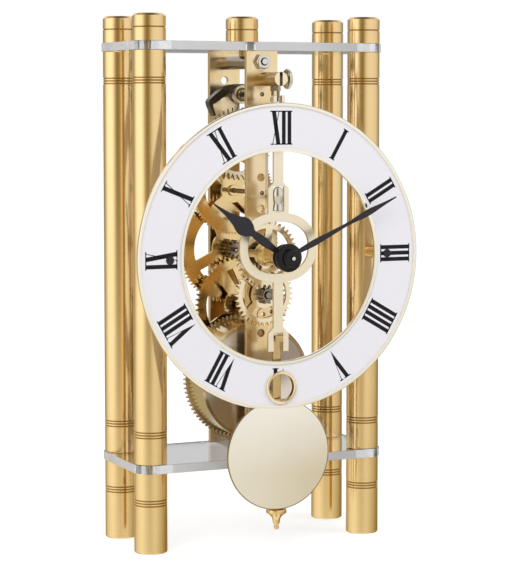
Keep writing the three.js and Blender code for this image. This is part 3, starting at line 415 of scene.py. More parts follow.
def rounded_path(points: Sequence[Spot], radius: float, steps: int = 6) -> list[Spot]:
    """Rounds the bends of a wire's route.

    Args:
        points: the corners of the route.
        radius: how far before and after a corner its bend runs.
        steps: points in each bend.

    Returns:
        The route with its bends.
    """
    route, most = [points[0]], 0.48
    for bend in zip(points, points[1:], points[2:]):
        b, c, a = map(Vector, bend)
        reach = min(radius, most * (b - c).length, most * (a - c).length)
        start, end = c + (b - c).normalized() * reach, c + (a - c).normalized() * reach
        for i in range(steps + 1):
            t = i / steps
            route.append(tuple(start * (1 - t) ** 2 + c * 2 * t * (1 - t) + end * t**2))
    return [*route, points[-1]]


def wire(route: Sequence[Spot], radius: float) -> Mesh:
    """A round wire with closed ends.

    Args:
        route: points of its middle line.
        radius: radius of the wire.

    Returns:
        A closed mesh.
    """
    curve = bpy.data.curves.new("route", "CURVE")
    curve.dimensions = "3D"
    curve.bevel_depth = radius
    curve.bevel_resolution = 4
    curve.use_fill_caps = True
    spline = curve.splines.new("POLY")
    spline.points.add(len(route) - 1)
    for point, spot in zip(spline.points, route):
        point.co = (*spot, 1.0)
    return tidied(evaluated(curve))


def bent_strip(path: Sequence[Point], thickness: float | Sequence[float]) -> Loop:
    """The outline of a strip that is bent along a path.

    Args:
        path: points of the strip's middle line.
        thickness: thickness of the strip, or its thickness at each point.

    Returns:
        A closed outline.
    """
    left: Loop = []
    right: Loop = []
    full = [thickness] * len(path) if isinstance(thickness, float) else thickness
    for i, point in enumerate(path):
        before, after = Vector(path[max(i - 1, 0)]), Vector(path[min(i + 1, len(path) - 1)])
        side = (after - before).normalized() * full[i] / 2
        left.append((point[0] - side.y, point[1] + side.x))
        right.append((point[0] + side.y, point[1] - side.x))
    return [*right, *reversed(left)]


def smooth_line(points: Sequence[Point], steps: int = 8) -> Loop:
    """A smooth line through points, by Catmull-Rom spans.

    Args:
        points: points that the line passes through.
        steps: chords in each span.

    Returns:
        The points of the line.
    """
    line: Loop = []
    padded = [points[0], *points, points[-1]]
    for span in zip(padded, padded[1:], padded[2:], padded[3:]):
        for i in range(steps):
            t = i / steps
            spot = []
            for a, b, c, d in zip(*span):
                bend, swing = 2 * a - 5 * b + 4 * c - d, 3 * b - a - 3 * c + d
                spot.append(0.5 * (2 * b + (c - a) * t + bend * t**2 + swing * t**3))
            line.append(tuple(spot))
    return [*line, points[-1]]


def joined(*meshes: Mesh) -> Mesh:
    """Several meshes as one, each keeping its material slot number.

    Args:
        *meshes: finished meshes in one frame.

    Returns:
        One mesh.
    """
    work = bmesh.new()
    for mesh in meshes:
        work.from_mesh(mesh)
    whole = bpy.data.meshes.new("joined")
    work.to_mesh(whole)
    work.free()
    return whole


def carved(mesh: Mesh, cutter: Mesh) -> Mesh:
    """A mesh with another one cut out of it.

    Args:
        mesh: the mesh.
        cutter: the form that is cut out.

    Returns:
        A new mesh.
    """
    tool = shown("cutter", cutter)
    cut = evaluated(mesh, ("BOOLEAN", {"operation": "DIFFERENCE", "solver": "EXACT", "object": tool}))
    bpy.data.objects.remove(tool)
    return tidied(cut)


def by_face(mesh: Mesh, choose: Rule) -> Mesh:
    """Gives each face the material slot that a rule picks from its middle and its normal.

    Args:
        mesh: a finished mesh.
        choose: rule from middle and normal to a slot number.

    Returns:
        The same mesh.
    """
    for face in mesh.polygons:
        face.material_index = choose(face.center, face.normal)
    return mesh


def second(mesh: Mesh) -> Mesh:
    """The same mesh, all of it in the second material slot."""
    return by_face(mesh, lambda middle, normal: 1)


def off_axis(middle: Vector, at: Point) -> float:
    """How far a face lies from an arbor's axis."""
    return math.hypot(middle.x - at[0], middle.z - at[1])


def windows(hub: float, rim: float, width: float, first: float, arms: int = 4) -> list[Loop]:
    """Windows that leave straight arms between a hub and a rim.

    Args:
        hub: radius of the hub.
        rim: inner radius of the rim.
        width: width of an arm.
        first: angle of the first arm.
        arms: number of arms.

    Returns:
        One rounded loop for each window.
    """
    loops = []
    out, near = math.asin(width / 2 / rim), math.asin(width / 2 / hub)
    for i in range(arms):
        start, end = first + i * TURN / arms, first + (i + 1) * TURN / arms
        ring = [*arc(rim, start + out, end - out, 18), *arc(hub, end - near, start + near, 8)]
        loops.append(soften(ring, 0.5, closed=True))
    return loops


class Tree:
    """A node tree under construction, with short calls for adding nodes and joining sockets."""

    def __init__(self, tree: NodeTree) -> None:
        """Takes the tree to build in."""
        self.tree = tree

    def join(self, socket: NodeSocket, value: object) -> None:
        """Joins one socket or several to an input, or sets its plain value.

        Args:
            socket: the input.
            value: a socket, a list of them, a plain value, or None to leave the input.
        """
        sources = value if isinstance(value, list) else [value]
        if isinstance(sources[0], NodeSocket):
            for source in sources:
                self.tree.links.new(source, socket)
        elif value is not None:
            socket.default_value = value

    def fill(self, node: Node, values: dict[str, object]) -> None:
        """Joins or sets inputs of a node by their names."""
        for name, value in values.items():
            self.join(node.inputs[name], value)

    def add(self, kind: str, *inputs: object, out: int | str = 0, **settings: object) -> NodeSocket:
        """Adds a node.

        Args:
            kind: the node's type.
            *inputs: for each input in order, a socket to join, a plain value, or None to leave it.
            out: number or name of the output to give back.
            **settings: the node's own properties.

        Returns:
            The chosen output socket.
        """
        node = self.tree.nodes.new(kind)
        for key, value in settings.items():
            setattr(node, key, value)
        for socket, value in zip(node.inputs, inputs):
            self.join(socket, value)
        return node.outputs[out]

    def math(self, operation: str, *inputs: object) -> NodeSocket:
        """A number worked out from others."""
        return self.add("ShaderNodeMath", *inputs, operation=operation)

    def finish(self, kind: str, value: NodeSocket) -> None:
        """Adds the tree's own output node and joins its first input."""
        self.join(self.tree.nodes.new(kind).inputs[0], value)


class Group(Tree):
    """A node group with named inputs and outputs."""

    def __init__(self, name: str, kind: str, inputs: dict[str, str], outputs: dict[str, str]) -> None:
        """Makes the group.

        Args:
            name: its name.
            kind: type of its tree.
            inputs: names and kinds of its inputs.
            outputs: names and kinds of its outputs.
        """
        super().__init__(bpy.data.node_groups.new(name, kind))
        self.inputs = {title: self._socket(title, sort, "INPUT") for title, sort in inputs.items()}
        for title, sort in outputs.items():
            self._socket(title, sort, "OUTPUT")
        self.start = self.tree.nodes.new("NodeGroupInput")
        self.end = self.tree.nodes.new("NodeGroupOutput")

    def _socket(self, name: str, kind: str, side: str) -> str:
        """Adds a socket to the group's face and gives its identifier."""
        return self.tree.interface.new_socket(name, in_out=side, socket_type=f"NodeSocket{kind}").identifier

    def given(self, name: str) -> NodeSocket:
        """The group's own input of that name."""
        return self.start.outputs[name]

    def give(self, name: str, value: NodeSocket) -> None:
        """Joins a socket to the group's output of that name."""
        self.join(self.end.inputs[name], value)

    def run(self, mesh: Mesh, values: dict[str, object], *after: tuple[str, dict]) -> Mesh:
        """Runs a Geometry Nodes group on a mesh.

        Args:
            mesh: the mesh.
            values: the group's inputs by name.
            *after: modifiers that follow it.

        Returns:
            The new mesh, with no material.
        """
        named = {self.inputs[name]: value for name, value in values.items()}
        made = evaluated(mesh, ("NODES", {"node_group": self.tree, **named}), *after)
        made.materials.clear()
        return tidied(made)


class WheelCutter:
    """A Geometry Nodes tree that cuts teeth round a blank whose loops are its bore and windows."""

    def __init__(self, form: ToothForm) -> None:
        """Builds the tree.

        Args:
            form: the form of tooth.
        """
        self.form = form
        self.nodes = nodes = Group(
            f"cut {form.name.lower()} teeth", "GeometryNodeTree",
            {"Blank": "Geometry", "Teeth": "Int", "Root": "Float", "Tip": "Float", "First": "Float",
             "Thickness": "Float", "Finish": "Material"}, {"Wheel": "Geometry"})
        per_tooth = len(form.value)
        index = nodes.add("GeometryNodeInputIndex")
        pitches = nodes.math("DIVIDE", index, float(per_tooth))
        height = self._height(nodes.math("FRACT", nodes.math("ADD", pitches, 0.5 / per_tooth)))
        depth = nodes.math("SUBTRACT", nodes.given("Tip"), nodes.given("Root"))
        radius = nodes.math("MULTIPLY_ADD", height, depth, nodes.given("Root"))
        pitch = nodes.math("DIVIDE", TURN, nodes.given("Teeth"))
        peak = form.value.index(1) / per_tooth
        steps = nodes.math("SUBTRACT", pitches, peak)
        turn = nodes.math("MULTIPLY_ADD", steps, pitch, nodes.given("First"))
        across = nodes.math("MULTIPLY", radius, nodes.math("COSINE", turn))
        up = nodes.math("MULTIPLY", radius, nodes.math("SINE", turn))
        count = nodes.math("MULTIPLY", nodes.given("Teeth"), float(per_tooth))
        ring = nodes.add("GeometryNodeCurvePrimitiveCircle", count)
        spot = nodes.add("ShaderNodeCombineXYZ", across, up, 0.0)
        toothed = nodes.add("GeometryNodeSetPosition", ring, None, spot)
        openings = nodes.add("GeometryNodeMeshToCurve", nodes.given("Blank"))
        loops = nodes.add("GeometryNodeJoinGeometry", [toothed, openings])
        face = nodes.add("GeometryNodeFillCurve", loops, mode="NGONS")
        rise = nodes.add("ShaderNodeCombineXYZ", 0.0, 0.0, nodes.given("Thickness"))
        raised = nodes.add("GeometryNodeExtrudeMesh", face, None, rise, 1.0, False)
        under = nodes.add("GeometryNodeFlipFaces", face)
        both = nodes.add("GeometryNodeJoinGeometry", [raised, under])
        closed = nodes.add("GeometryNodeMergeByDistance", both, None, 2 * WELD)
        real = nodes.add("GeometryNodeRealizeInstances", closed)
        nodes.give("Wheel", nodes.add("GeometryNodeSetMaterial", real, None, nodes.given("Finish")))

    def _height(self, share: NodeSocket) -> NodeSocket:
        """The tooth's height at a share of its pitch, by a curve through the form's steps.

        Args:
            share: place in the pitch, from 0 to 1.

        Returns:
            The height from 0 at the root to 1 at the tip.
        """
        output = self.nodes.add("ShaderNodeFloatCurve", 1.0, share)
        mapping = output.node.mapping
        line = mapping.curves[0]
        steps = self.form.value
        places = [((i + 0.5) / len(steps), value) for i, value in enumerate(steps)]
        while len(line.points) < len(places):
            line.points.new(0.5, 0.5)
        for point, place in zip(line.points, places):
            point.location = place
            point.handle_type = "VECTOR"
        mapping.update()
        return output

    def cut(self, blank: Sequence[Loop], material: Material, at: Point, back: float, edge: float,
            **sizes: float) -> Mesh:
        """Cuts one wheel and sets it upright on its arbor.

        Args:
            blank: loops of the bore and the windows.
            material: the wheel's finish.
            at: its axis.
            back: depth of its back face.
            edge: size of the broken edges.
            **sizes: teeth, root, tip, first and thickness.

        Returns:
            The wheel's mesh.
        """
        mesh = bpy.data.meshes.new("blank")
        corners = [(x, z, 0.0) for loop in blank for x, z in loop]
        edges, start = [], 0
        for loop in blank:
            count = len(loop)
            edges += [(start + i, start + (i + 1) % count) for i in range(count)]
            start += count
        mesh.from_pydata(corners, edges, [])
        values = {name.capitalize(): value for name, value in sizes.items()}
        breaking = {"width": edge, "segments": 1, "limit_method": "ANGLE", "angle_limit": math.radians(50)}
        wheel = self.nodes.run(mesh, {**values, "Finish": material}, ("BEVEL", breaking))
        wheel.transform(Matrix.Translation((at[0], back, at[1])) @ Matrix.Rotation(QUARTER, 4, "X"))
        return wheel


class RingOfCopies:
    """A Geometry Nodes tree that sets copies of one small form evenly round the Z axis."""

    def __init__(self) -> None:
        """Builds the tree."""
        self.nodes = nodes = Group(
            "ring of copies", "GeometryNodeTree",
            {"Form": "Geometry", "Copies": "Int", "Radius": "Float", "Finish": "Material"},
            {"Ring": "Geometry"})
        ring = nodes.add("GeometryNodeMeshCircle", nodes.given("Copies"), nodes.given("Radius"))
        step = nodes.math("DIVIDE", TURN, nodes.given("Copies"))
        turn = nodes.math("MULTIPLY", nodes.add("GeometryNodeInputIndex"), step)
        facing = nodes.add("ShaderNodeCombineXYZ", 0.0, 0.0, turn)
        form = nodes.given("Form")
        copies = nodes.add("GeometryNodeInstanceOnPoints", ring, None, form, None, None, facing)
        real = nodes.add("GeometryNodeRealizeInstances", copies)
        nodes.give("Ring", nodes.add("GeometryNodeSetMaterial", real, None, nodes.given("Finish")))

    def make(self, form: Mesh, copies: int, radius: float, material: Material) -> Mesh:
        """A ring of a small form that lies at the origin with +X outwards."""
        return self.nodes.run(form, {"Copies": copies, "Radius": radius, "Finish": material})


class Patterns:
    """Shader node groups that the finishes share."""

    inputs = {"Place": "Vector", "Patch": "Float", "Tint": "Color", "Shade": "Color", "Smooth": "Float",
              "Rough": "Float"}
    outputs = {"Color": "Color", "Roughness": "Float", "Height": "Float"}

    def __init__(self) -> None:
        """Builds the groups."""
        self.grain = self._grain()
        self.spun = self._spun()

    @staticmethod
    def _dress(nodes: Group, lines: NodeSocket) -> NodeTree:
        """Mixes tints and roughness by soft patches and by the tool's lines.

        Args:
            nodes: the group.
            lines: the tool's lines, from 0 to 1.

        Returns:
            The group's finished tree.
        """
        place, patch = nodes.given("Place"), nodes.given("Patch")
        patches = nodes.add("ShaderNodeTexNoise", place, None, patch, 3.0, 0.55)
        handled = nodes.add("ShaderNodeTexNoise", place, None, nodes.math("MULTIPLY", patch, 7.0), 2.0)
        blend = nodes.math("MULTIPLY_ADD", patches, 0.65, nodes.math("MULTIPLY", lines, 0.35))
        spread = nodes.add("ShaderNodeMapRange", blend, 0.3, 0.7, 0.0, 1.0)
        nodes.give("Color", nodes.add("ShaderNodeMix", spread, *[None] * 5, nodes.given("Tint"),
                                      nodes.given("Shade"), data_type="RGBA", out=2))
        worn = nodes.math("ADD", handled, nodes.math("MULTIPLY", lines, 0.4))
        nodes.give("Roughness", nodes.add("ShaderNodeMapRange", worn, 0.35, 1.05, nodes.given("Smooth"),
                                          nodes.given("Rough")))
        nodes.give("Height", nodes.math("ADD", lines, nodes.math("MULTIPLY", handled, 0.3)))
        return nodes.tree

    def _grain(self) -> NodeTree:
        """Lines that run one way through the piece's own coordinates.

        Returns:
            The group's tree.
        """
        nodes = Group("tool grain", "ShaderNodeTree", {**self.inputs, "Stretch": "Vector"}, self.outputs)
        drawn = nodes.add("ShaderNodeVectorMath", nodes.given("Place"), nodes.given("Stretch"),
                          operation="MULTIPLY")
        return self._dress(nodes, nodes.add("ShaderNodeTexNoise", drawn, None, 1.0, 4.0, 0.6))

    def _spun(self) -> NodeTree:
        """Lines that run round an axis along Y, as spun metal shows.

        Returns:
            The group's tree.
        """
        nodes = Group("spun grain", "ShaderNodeTree", {**self.inputs, "Lines": "Float"}, self.outputs)
        place = nodes.given("Place")
        flat = nodes.add("ShaderNodeVectorMath", place, (1.0, 0.0, 1.0), operation="MULTIPLY")
        reach = nodes.add("ShaderNodeVectorMath", flat, operation="LENGTH", out=1)
        radius = nodes.math("MULTIPLY", reach, nodes.given("Lines"))
        lines = nodes.add("ShaderNodeTexNoise", None, radius, 1.0, 3.0, 0.6, noise_dimensions="1D")
        return self._dress(nodes, lines)


@dataclass(frozen=True)
class Finish:
    """One finish: its tints, its gloss and the lines that its tool has left."""

    name: str
    slot: str
    tint: Color
    shade: Color
    smooth: float
    rough: float
    sheen: Sheen = Sheen.METAL
    grain: Grain = Grain.POLISHED
    lines_per_mm: float = 4.0
    depth: float = 0.01
    patch_mm: float = 9.0
    spun_at: Point | None = None
    coat: float = 0.0
    specular: float = 0.5
    anisotropy: float = 0.0
    through: float = 1.0

    def material(self, patterns: Patterns, shift: float) -> Material:
        """Makes the material.

        Args:
            patterns: the shared node groups.
            shift: offset of the movement's frame in the row frame, in millimetres.

        Returns:
            The material.
        """
        material = bpy.data.materials.new(self.name)
        material.use_nodes = True
        nodes = Tree(material.node_tree)
        shader = material.node_tree.nodes["Principled BSDF"]
        place = nodes.add("ShaderNodeTexCoord", out="Object")
        if self.spun_at:
            x, z = self.spun_at
            place = nodes.add("ShaderNodeMapping", place, (-x * MM, -shift * MM, -z * MM))
            tree, lines = patterns.spun, {"Lines": self.lines_per_mm / MM}
        else:
            stretch = [self.lines_per_mm / MM * way for way in self.grain.value]
            tree, lines = patterns.grain, {"Stretch": stretch}
        group = nodes.add("ShaderNodeGroup", node_tree=tree).node
        nodes.fill(group, {
            "Place": place, "Patch": 1 / (self.patch_mm * MM), "Tint": (*self.tint, 1.0),
            "Shade": (*self.shade, 1.0), "Smooth": self.smooth, "Rough": self.rough, **lines})
        bump = nodes.add("ShaderNodeBump").node
        nodes.fill(bump, {"Strength": self.depth, "Distance": 0.05 * MM, "Height": group.outputs["Height"]})
        nodes.fill(shader, {
            "Base Color": group.outputs["Color"], "Roughness": group.outputs["Roughness"],
            "Normal": bump.outputs["Normal"], "Metallic": float(self.sheen is Sheen.METAL),
            "Coat Weight": self.coat, "Specular IOR Level": self.specular})
        if self.anisotropy:
            tangent = nodes.add("ShaderNodeTangent", direction_type="RADIAL", axis="Y")
            nodes.fill(shader, {"Anisotropic": self.anisotropy, "Tangent": tangent})
        if self.sheen is Sheen.CLEAR:
            nodes.fill(shader, {"Transmission Weight": self.through, "IOR": ACRYLIC_IOR})
        return material


SATIN_GOLD = Finish("satin gold", "gold", (0.91, 0.67, 0.335), (0.88, 0.635, 0.295), 0.15, 0.21,
                    grain=Grain.TURNED, lines_per_mm=5.0, depth=0.02, coat=0.4)
# A darker copy of the pillars' gold for the turned grooves and the studs: painted shade.
GROOVE_SHADE_GOLD = Finish("groove gold", "gold", (0.58, 0.39, 0.15), (0.50, 0.32, 0.11), 0.3, 0.4, depth=0.05)
NUT_GOLD = Finish("nut gold", "gold", (0.90, 0.66, 0.33), (0.86, 0.60, 0.28), 0.06, 0.14)
BUSH_GOLD = Finish("bush gold", "gold", (0.97, 0.83, 0.60), (0.95, 0.79, 0.54), 0.04, 0.1, depth=0.005)
PLATE_BRASS = Finish("plate brass", "plate_brass", (0.92, 0.77, 0.54), (0.84, 0.61, 0.28), 0.14, 0.26,
                     grain=Grain.STRAIGHT, lines_per_mm=0.3, depth=0.02, patch_mm=16.0)
WHEEL_BRASS = Finish("wheel brass", "wheel_brass", (0.88, 0.68, 0.37), (0.78, 0.57, 0.26), 0.08, 0.16)
# A darker brass for the great wheel's teeth behind the drum: painted shade.
TOOTH_SHADE_BRASS = Finish("great wheel brass", "wheel_brass", (0.50, 0.38, 0.21), (0.42, 0.31, 0.16), 0.12, 0.22)
# A darker brass for the hook strip, also put on the suspension post's sides as painted shade.
HOOK_BRASS = Finish("hook brass", "wheel_brass", (0.66, 0.48, 0.23), (0.56, 0.39, 0.17), 0.12, 0.22)
# A near-black brown on brass parts, for the escape wheel's rim and teeth and the collet's recess: painted
# shade.
SHADE_DARK_BRASS = Finish("escape steel", "wheel_brass", (0.20, 0.16, 0.08), (0.14, 0.11, 0.05), 0.2, 0.3)
# A darker brass for the bob's turned edge: a painted shade line round its rim.
BOB_EDGE_SHADE = Finish("bob edge", "pale_brass", (0.44, 0.36, 0.22), (0.36, 0.29, 0.17), 0.1, 0.18)
HUB_BRASS = Finish("hub brass", "plate_brass", (0.90, 0.71, 0.37), (0.85, 0.64, 0.30), 0.22, 0.32)
DRUM_BRASS = Finish("drum brass", "wheel_brass", (0.80, 0.68, 0.45), (0.70, 0.57, 0.34), 0.12, 0.22)
CREAM_BRASS = Finish("cream brass", "plate_brass", (0.95, 0.83, 0.62), (0.92, 0.78, 0.55), 0.1, 0.2)
PALE_BRASS = Finish("pale brass", "pale_brass", (0.96, 0.87, 0.70), (0.93, 0.83, 0.64), 0.28, 0.38,
                    grain=Grain.STRAIGHT, lines_per_mm=3.0, depth=0.02)
CHAMPAGNE = Finish("champagne", "pale_brass", (0.94, 0.90, 0.81), (0.92, 0.87, 0.77), 0.03, 0.07,
                   spun_at=PLACE.bob, lines_per_mm=3.0, depth=0.004)
NICKEL = Finish("nickel", "nickel", (0.78, 0.75, 0.70), (0.70, 0.67, 0.61), 0.06, 0.14)
SPUN_NICKEL = Finish("spun nickel", "nickel", (0.87, 0.81, 0.76), (0.81, 0.74, 0.67), 0.2, 0.26,
                     spun_at=PLACE.barrel, lines_per_mm=5.0, depth=0.006, anisotropy=0.6)
STEEL = Finish("dark steel", "steel", (0.34, 0.31, 0.27), (0.27, 0.24, 0.20), 0.12, 0.24)
ANCHOR_STEEL = Finish("anchor steel", "steel", (0.13, 0.12, 0.105), (0.09, 0.085, 0.075), 0.16, 0.28)
PILLAR_STEEL = Finish("pillar steel", "nickel", (0.42, 0.38, 0.33), (0.34, 0.30, 0.25), 0.16, 0.28)
SPRING_STEEL = Finish("spring steel", "wheel_brass", (0.46, 0.42, 0.36), (0.32, 0.29, 0.24), 0.16, 0.34,
                      depth=0.02)
SATIN_BLACK = Finish("satin black", "black", (0.018, 0.015, 0.021), (0.012, 0.010, 0.015), 0.34, 0.46,
                     Sheen.PAINT, specular=0.4)
GLOSS_BLACK = Finish("gloss black", "black", (0.006, 0.005, 0.006), (0.004, 0.003, 0.004), 0.16, 0.26,
                     Sheen.PAINT, specular=0.3)
ENAMEL = Finish("dial enamel", "dial_white", (0.89, 0.873, 0.918), (0.875, 0.858, 0.905), 0.3, 0.4,
                Sheen.PAINT, depth=0.005, patch_mm=40.0)
RIM = Finish("dial rim", "dial_white", (0.96, 0.92, 0.82), (0.94, 0.89, 0.77), 0.1, 0.18, depth=0.005)
INK = Finish("numeral ink", "black", (0.010, 0.008, 0.012), (0.006, 0.005, 0.008), 0.5, 0.65, Sheen.PAINT,
             specular=0.25)
CLEAR = Finish("clear acrylic", "acrylic", (0.985, 0.985, 0.99), (0.975, 0.975, 0.982), 0.0, 0.02,
               Sheen.CLEAR, depth=0.001, patch_mm=30.0)
CLEAR_EDGE = Finish("acrylic edge", "acrylic", (0.80, 0.795, 0.80), (0.78, 0.775, 0.78), 0.5, 0.6,
                    Sheen.CLEAR, depth=0.005, patch_mm=20.0, through=0.5)
CLEAR_SIDE = Finish("acrylic end", "acrylic", (0.97, 0.97, 0.985), (0.95, 0.95, 0.965), 0.2, 0.3,
                    Sheen.CLEAR, depth=0.005, patch_mm=20.0, through=0.35)


class Workshop:
    """Keeps the wheel cutters, the patterns and the materials.

    tooth_depths has each form's depth below and height above the pitch circle, in modules.
    """

    tooth_depths = {ToothForm.WHEEL: (1.35, 0.85), ToothForm.LEAF: (1.4, 0.7)}

    def __init__(self, shift: float) -> None:
        """Sets up the wheel cutters, the patterns and the store of materials.

        Args:
            shift: offset of the movement's frame in the row frame, in millimetres.
        """
        self.shift = shift
        self.patterns = Patterns()
        self.cutters = {form: WheelCutter(form) for form in ToothForm}
        self.rings = RingOfCopies()
        self.store: dict[Finish, Material] = {}

    def dress(self, finish: Finish) -> Material:
        """The material of a finish, made once.

        Args:
            finish: the finish.

        Returns:
            Its material.
        """
        if finish not in self.store:
            self.store[finish] = finish.material(self.patterns, self.shift)
        return self.store[finish]

    def wheel(self, form: ToothForm, blank: Sequence[Loop], at: Point, back: float, finish: Finish,
              edge: float = 0.05, **sizes: float) -> Mesh:
        """Cuts a wheel of given teeth, root, tip, first and thickness from a blank's loops."""
        return self.cutters[form].cut(blank, self.dress(finish), at, back, edge, **sizes)

    def gear(self, form: ToothForm, teeth: int, module: float, at: Point, back: float, first: float,
             finish: Finish, bore: Loop | None = None, arms: tuple[float, ...] = (),
             thickness: float = PLACE.wheel, edge: float = 0.05) -> Mesh:
        """Cuts a wheel or pinion of a module.

        Args:
            form: form of the teeth.
            teeth: number of teeth.
            module: its module.
            at: its axis.
            back: depth of its back face.
            first: direction that a tooth points in.
            finish: its finish.
            bore: loop of its bore, if it has one.
            arms: hub's radius, rim's width, arms' width and first angle of a crossed wheel.
            thickness: thickness towards the viewer.
            edge: size of its broken edges.

        Returns:
            The mesh.
        """
        below_pitch, above_pitch = self.tooth_depths[form]
        root, tip = module * (teeth / 2 - below_pitch), module * (teeth / 2 + above_pitch)
        blank = [bore] if bore else []
        if arms:
            hub, rim, width, turn = arms
            blank += windows(hub, root - rim, width, turn)
        return self.wheel(form, blank, at, back, finish, edge, teeth=teeth, root=root, tip=tip, first=first,
                          thickness=thickness)

    def pinion(self, leaves: int, module: float, at: Point, back: float, length: float, gap_at: float,
               bore: Loop | None = None, edge: float = 0.025) -> Mesh:
        """A steel pinion from its back end forwards, with a gap between leaves in a given direction."""
        first = gap_at + math.pi / leaves
        return self.gear(ToothForm.LEAF, leaves, module, at, back, first, STEEL, bore, (), length, edge)


@dataclass
class Assembly:
    """A sub-assembly, whose pieces are made in the workshop and handed to the frame."""

    shop: Workshop

    def build(self) -> None:
        """Makes and places the pieces."""
        raise NotImplementedError

    def place(self, name: str, mesh: Mesh, finishes: Finish | Sequence[Finish], body: str = "case",
              node: str = "") -> Object:
        """Puts a finished mesh into the row frame and ties it to the frame.

        Args:
            name: name of the piece.
            mesh: its mesh in the movement's frame.
            finishes: its finish, or several in the order of its material slots.
            body: the body that it moves with, or nothing for a piece that bends between two.
            node: the frame's node that it stands for.

        Returns:
            The piece.
        """
        layers = [finishes] if isinstance(finishes, Finish) else list(finishes)
        even = {"mode": "FACE_AREA", "weight": 100, "keep_sharp": True}
        mesh = evaluated(mesh, ("WEIGHTED_NORMAL", even))
        mesh.transform(Matrix.Scale(MM, 4) @ Matrix.Translation((0, self.shop.shift, 0)))
        mesh.name = name
        for number, finish in enumerate(layers):
            if number < len(mesh.materials):
                mesh.materials[number] = self.shop.dress(finish)
            else:
                mesh.materials.append(self.shop.dress(finish))
        piece = shown(name, mesh)
        if body:
            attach(piece, body)
        if node:
            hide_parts(node)
        LOG.info("%s: %d faces on %s", name, len(mesh.polygons), body or "two bodies")
        return piece


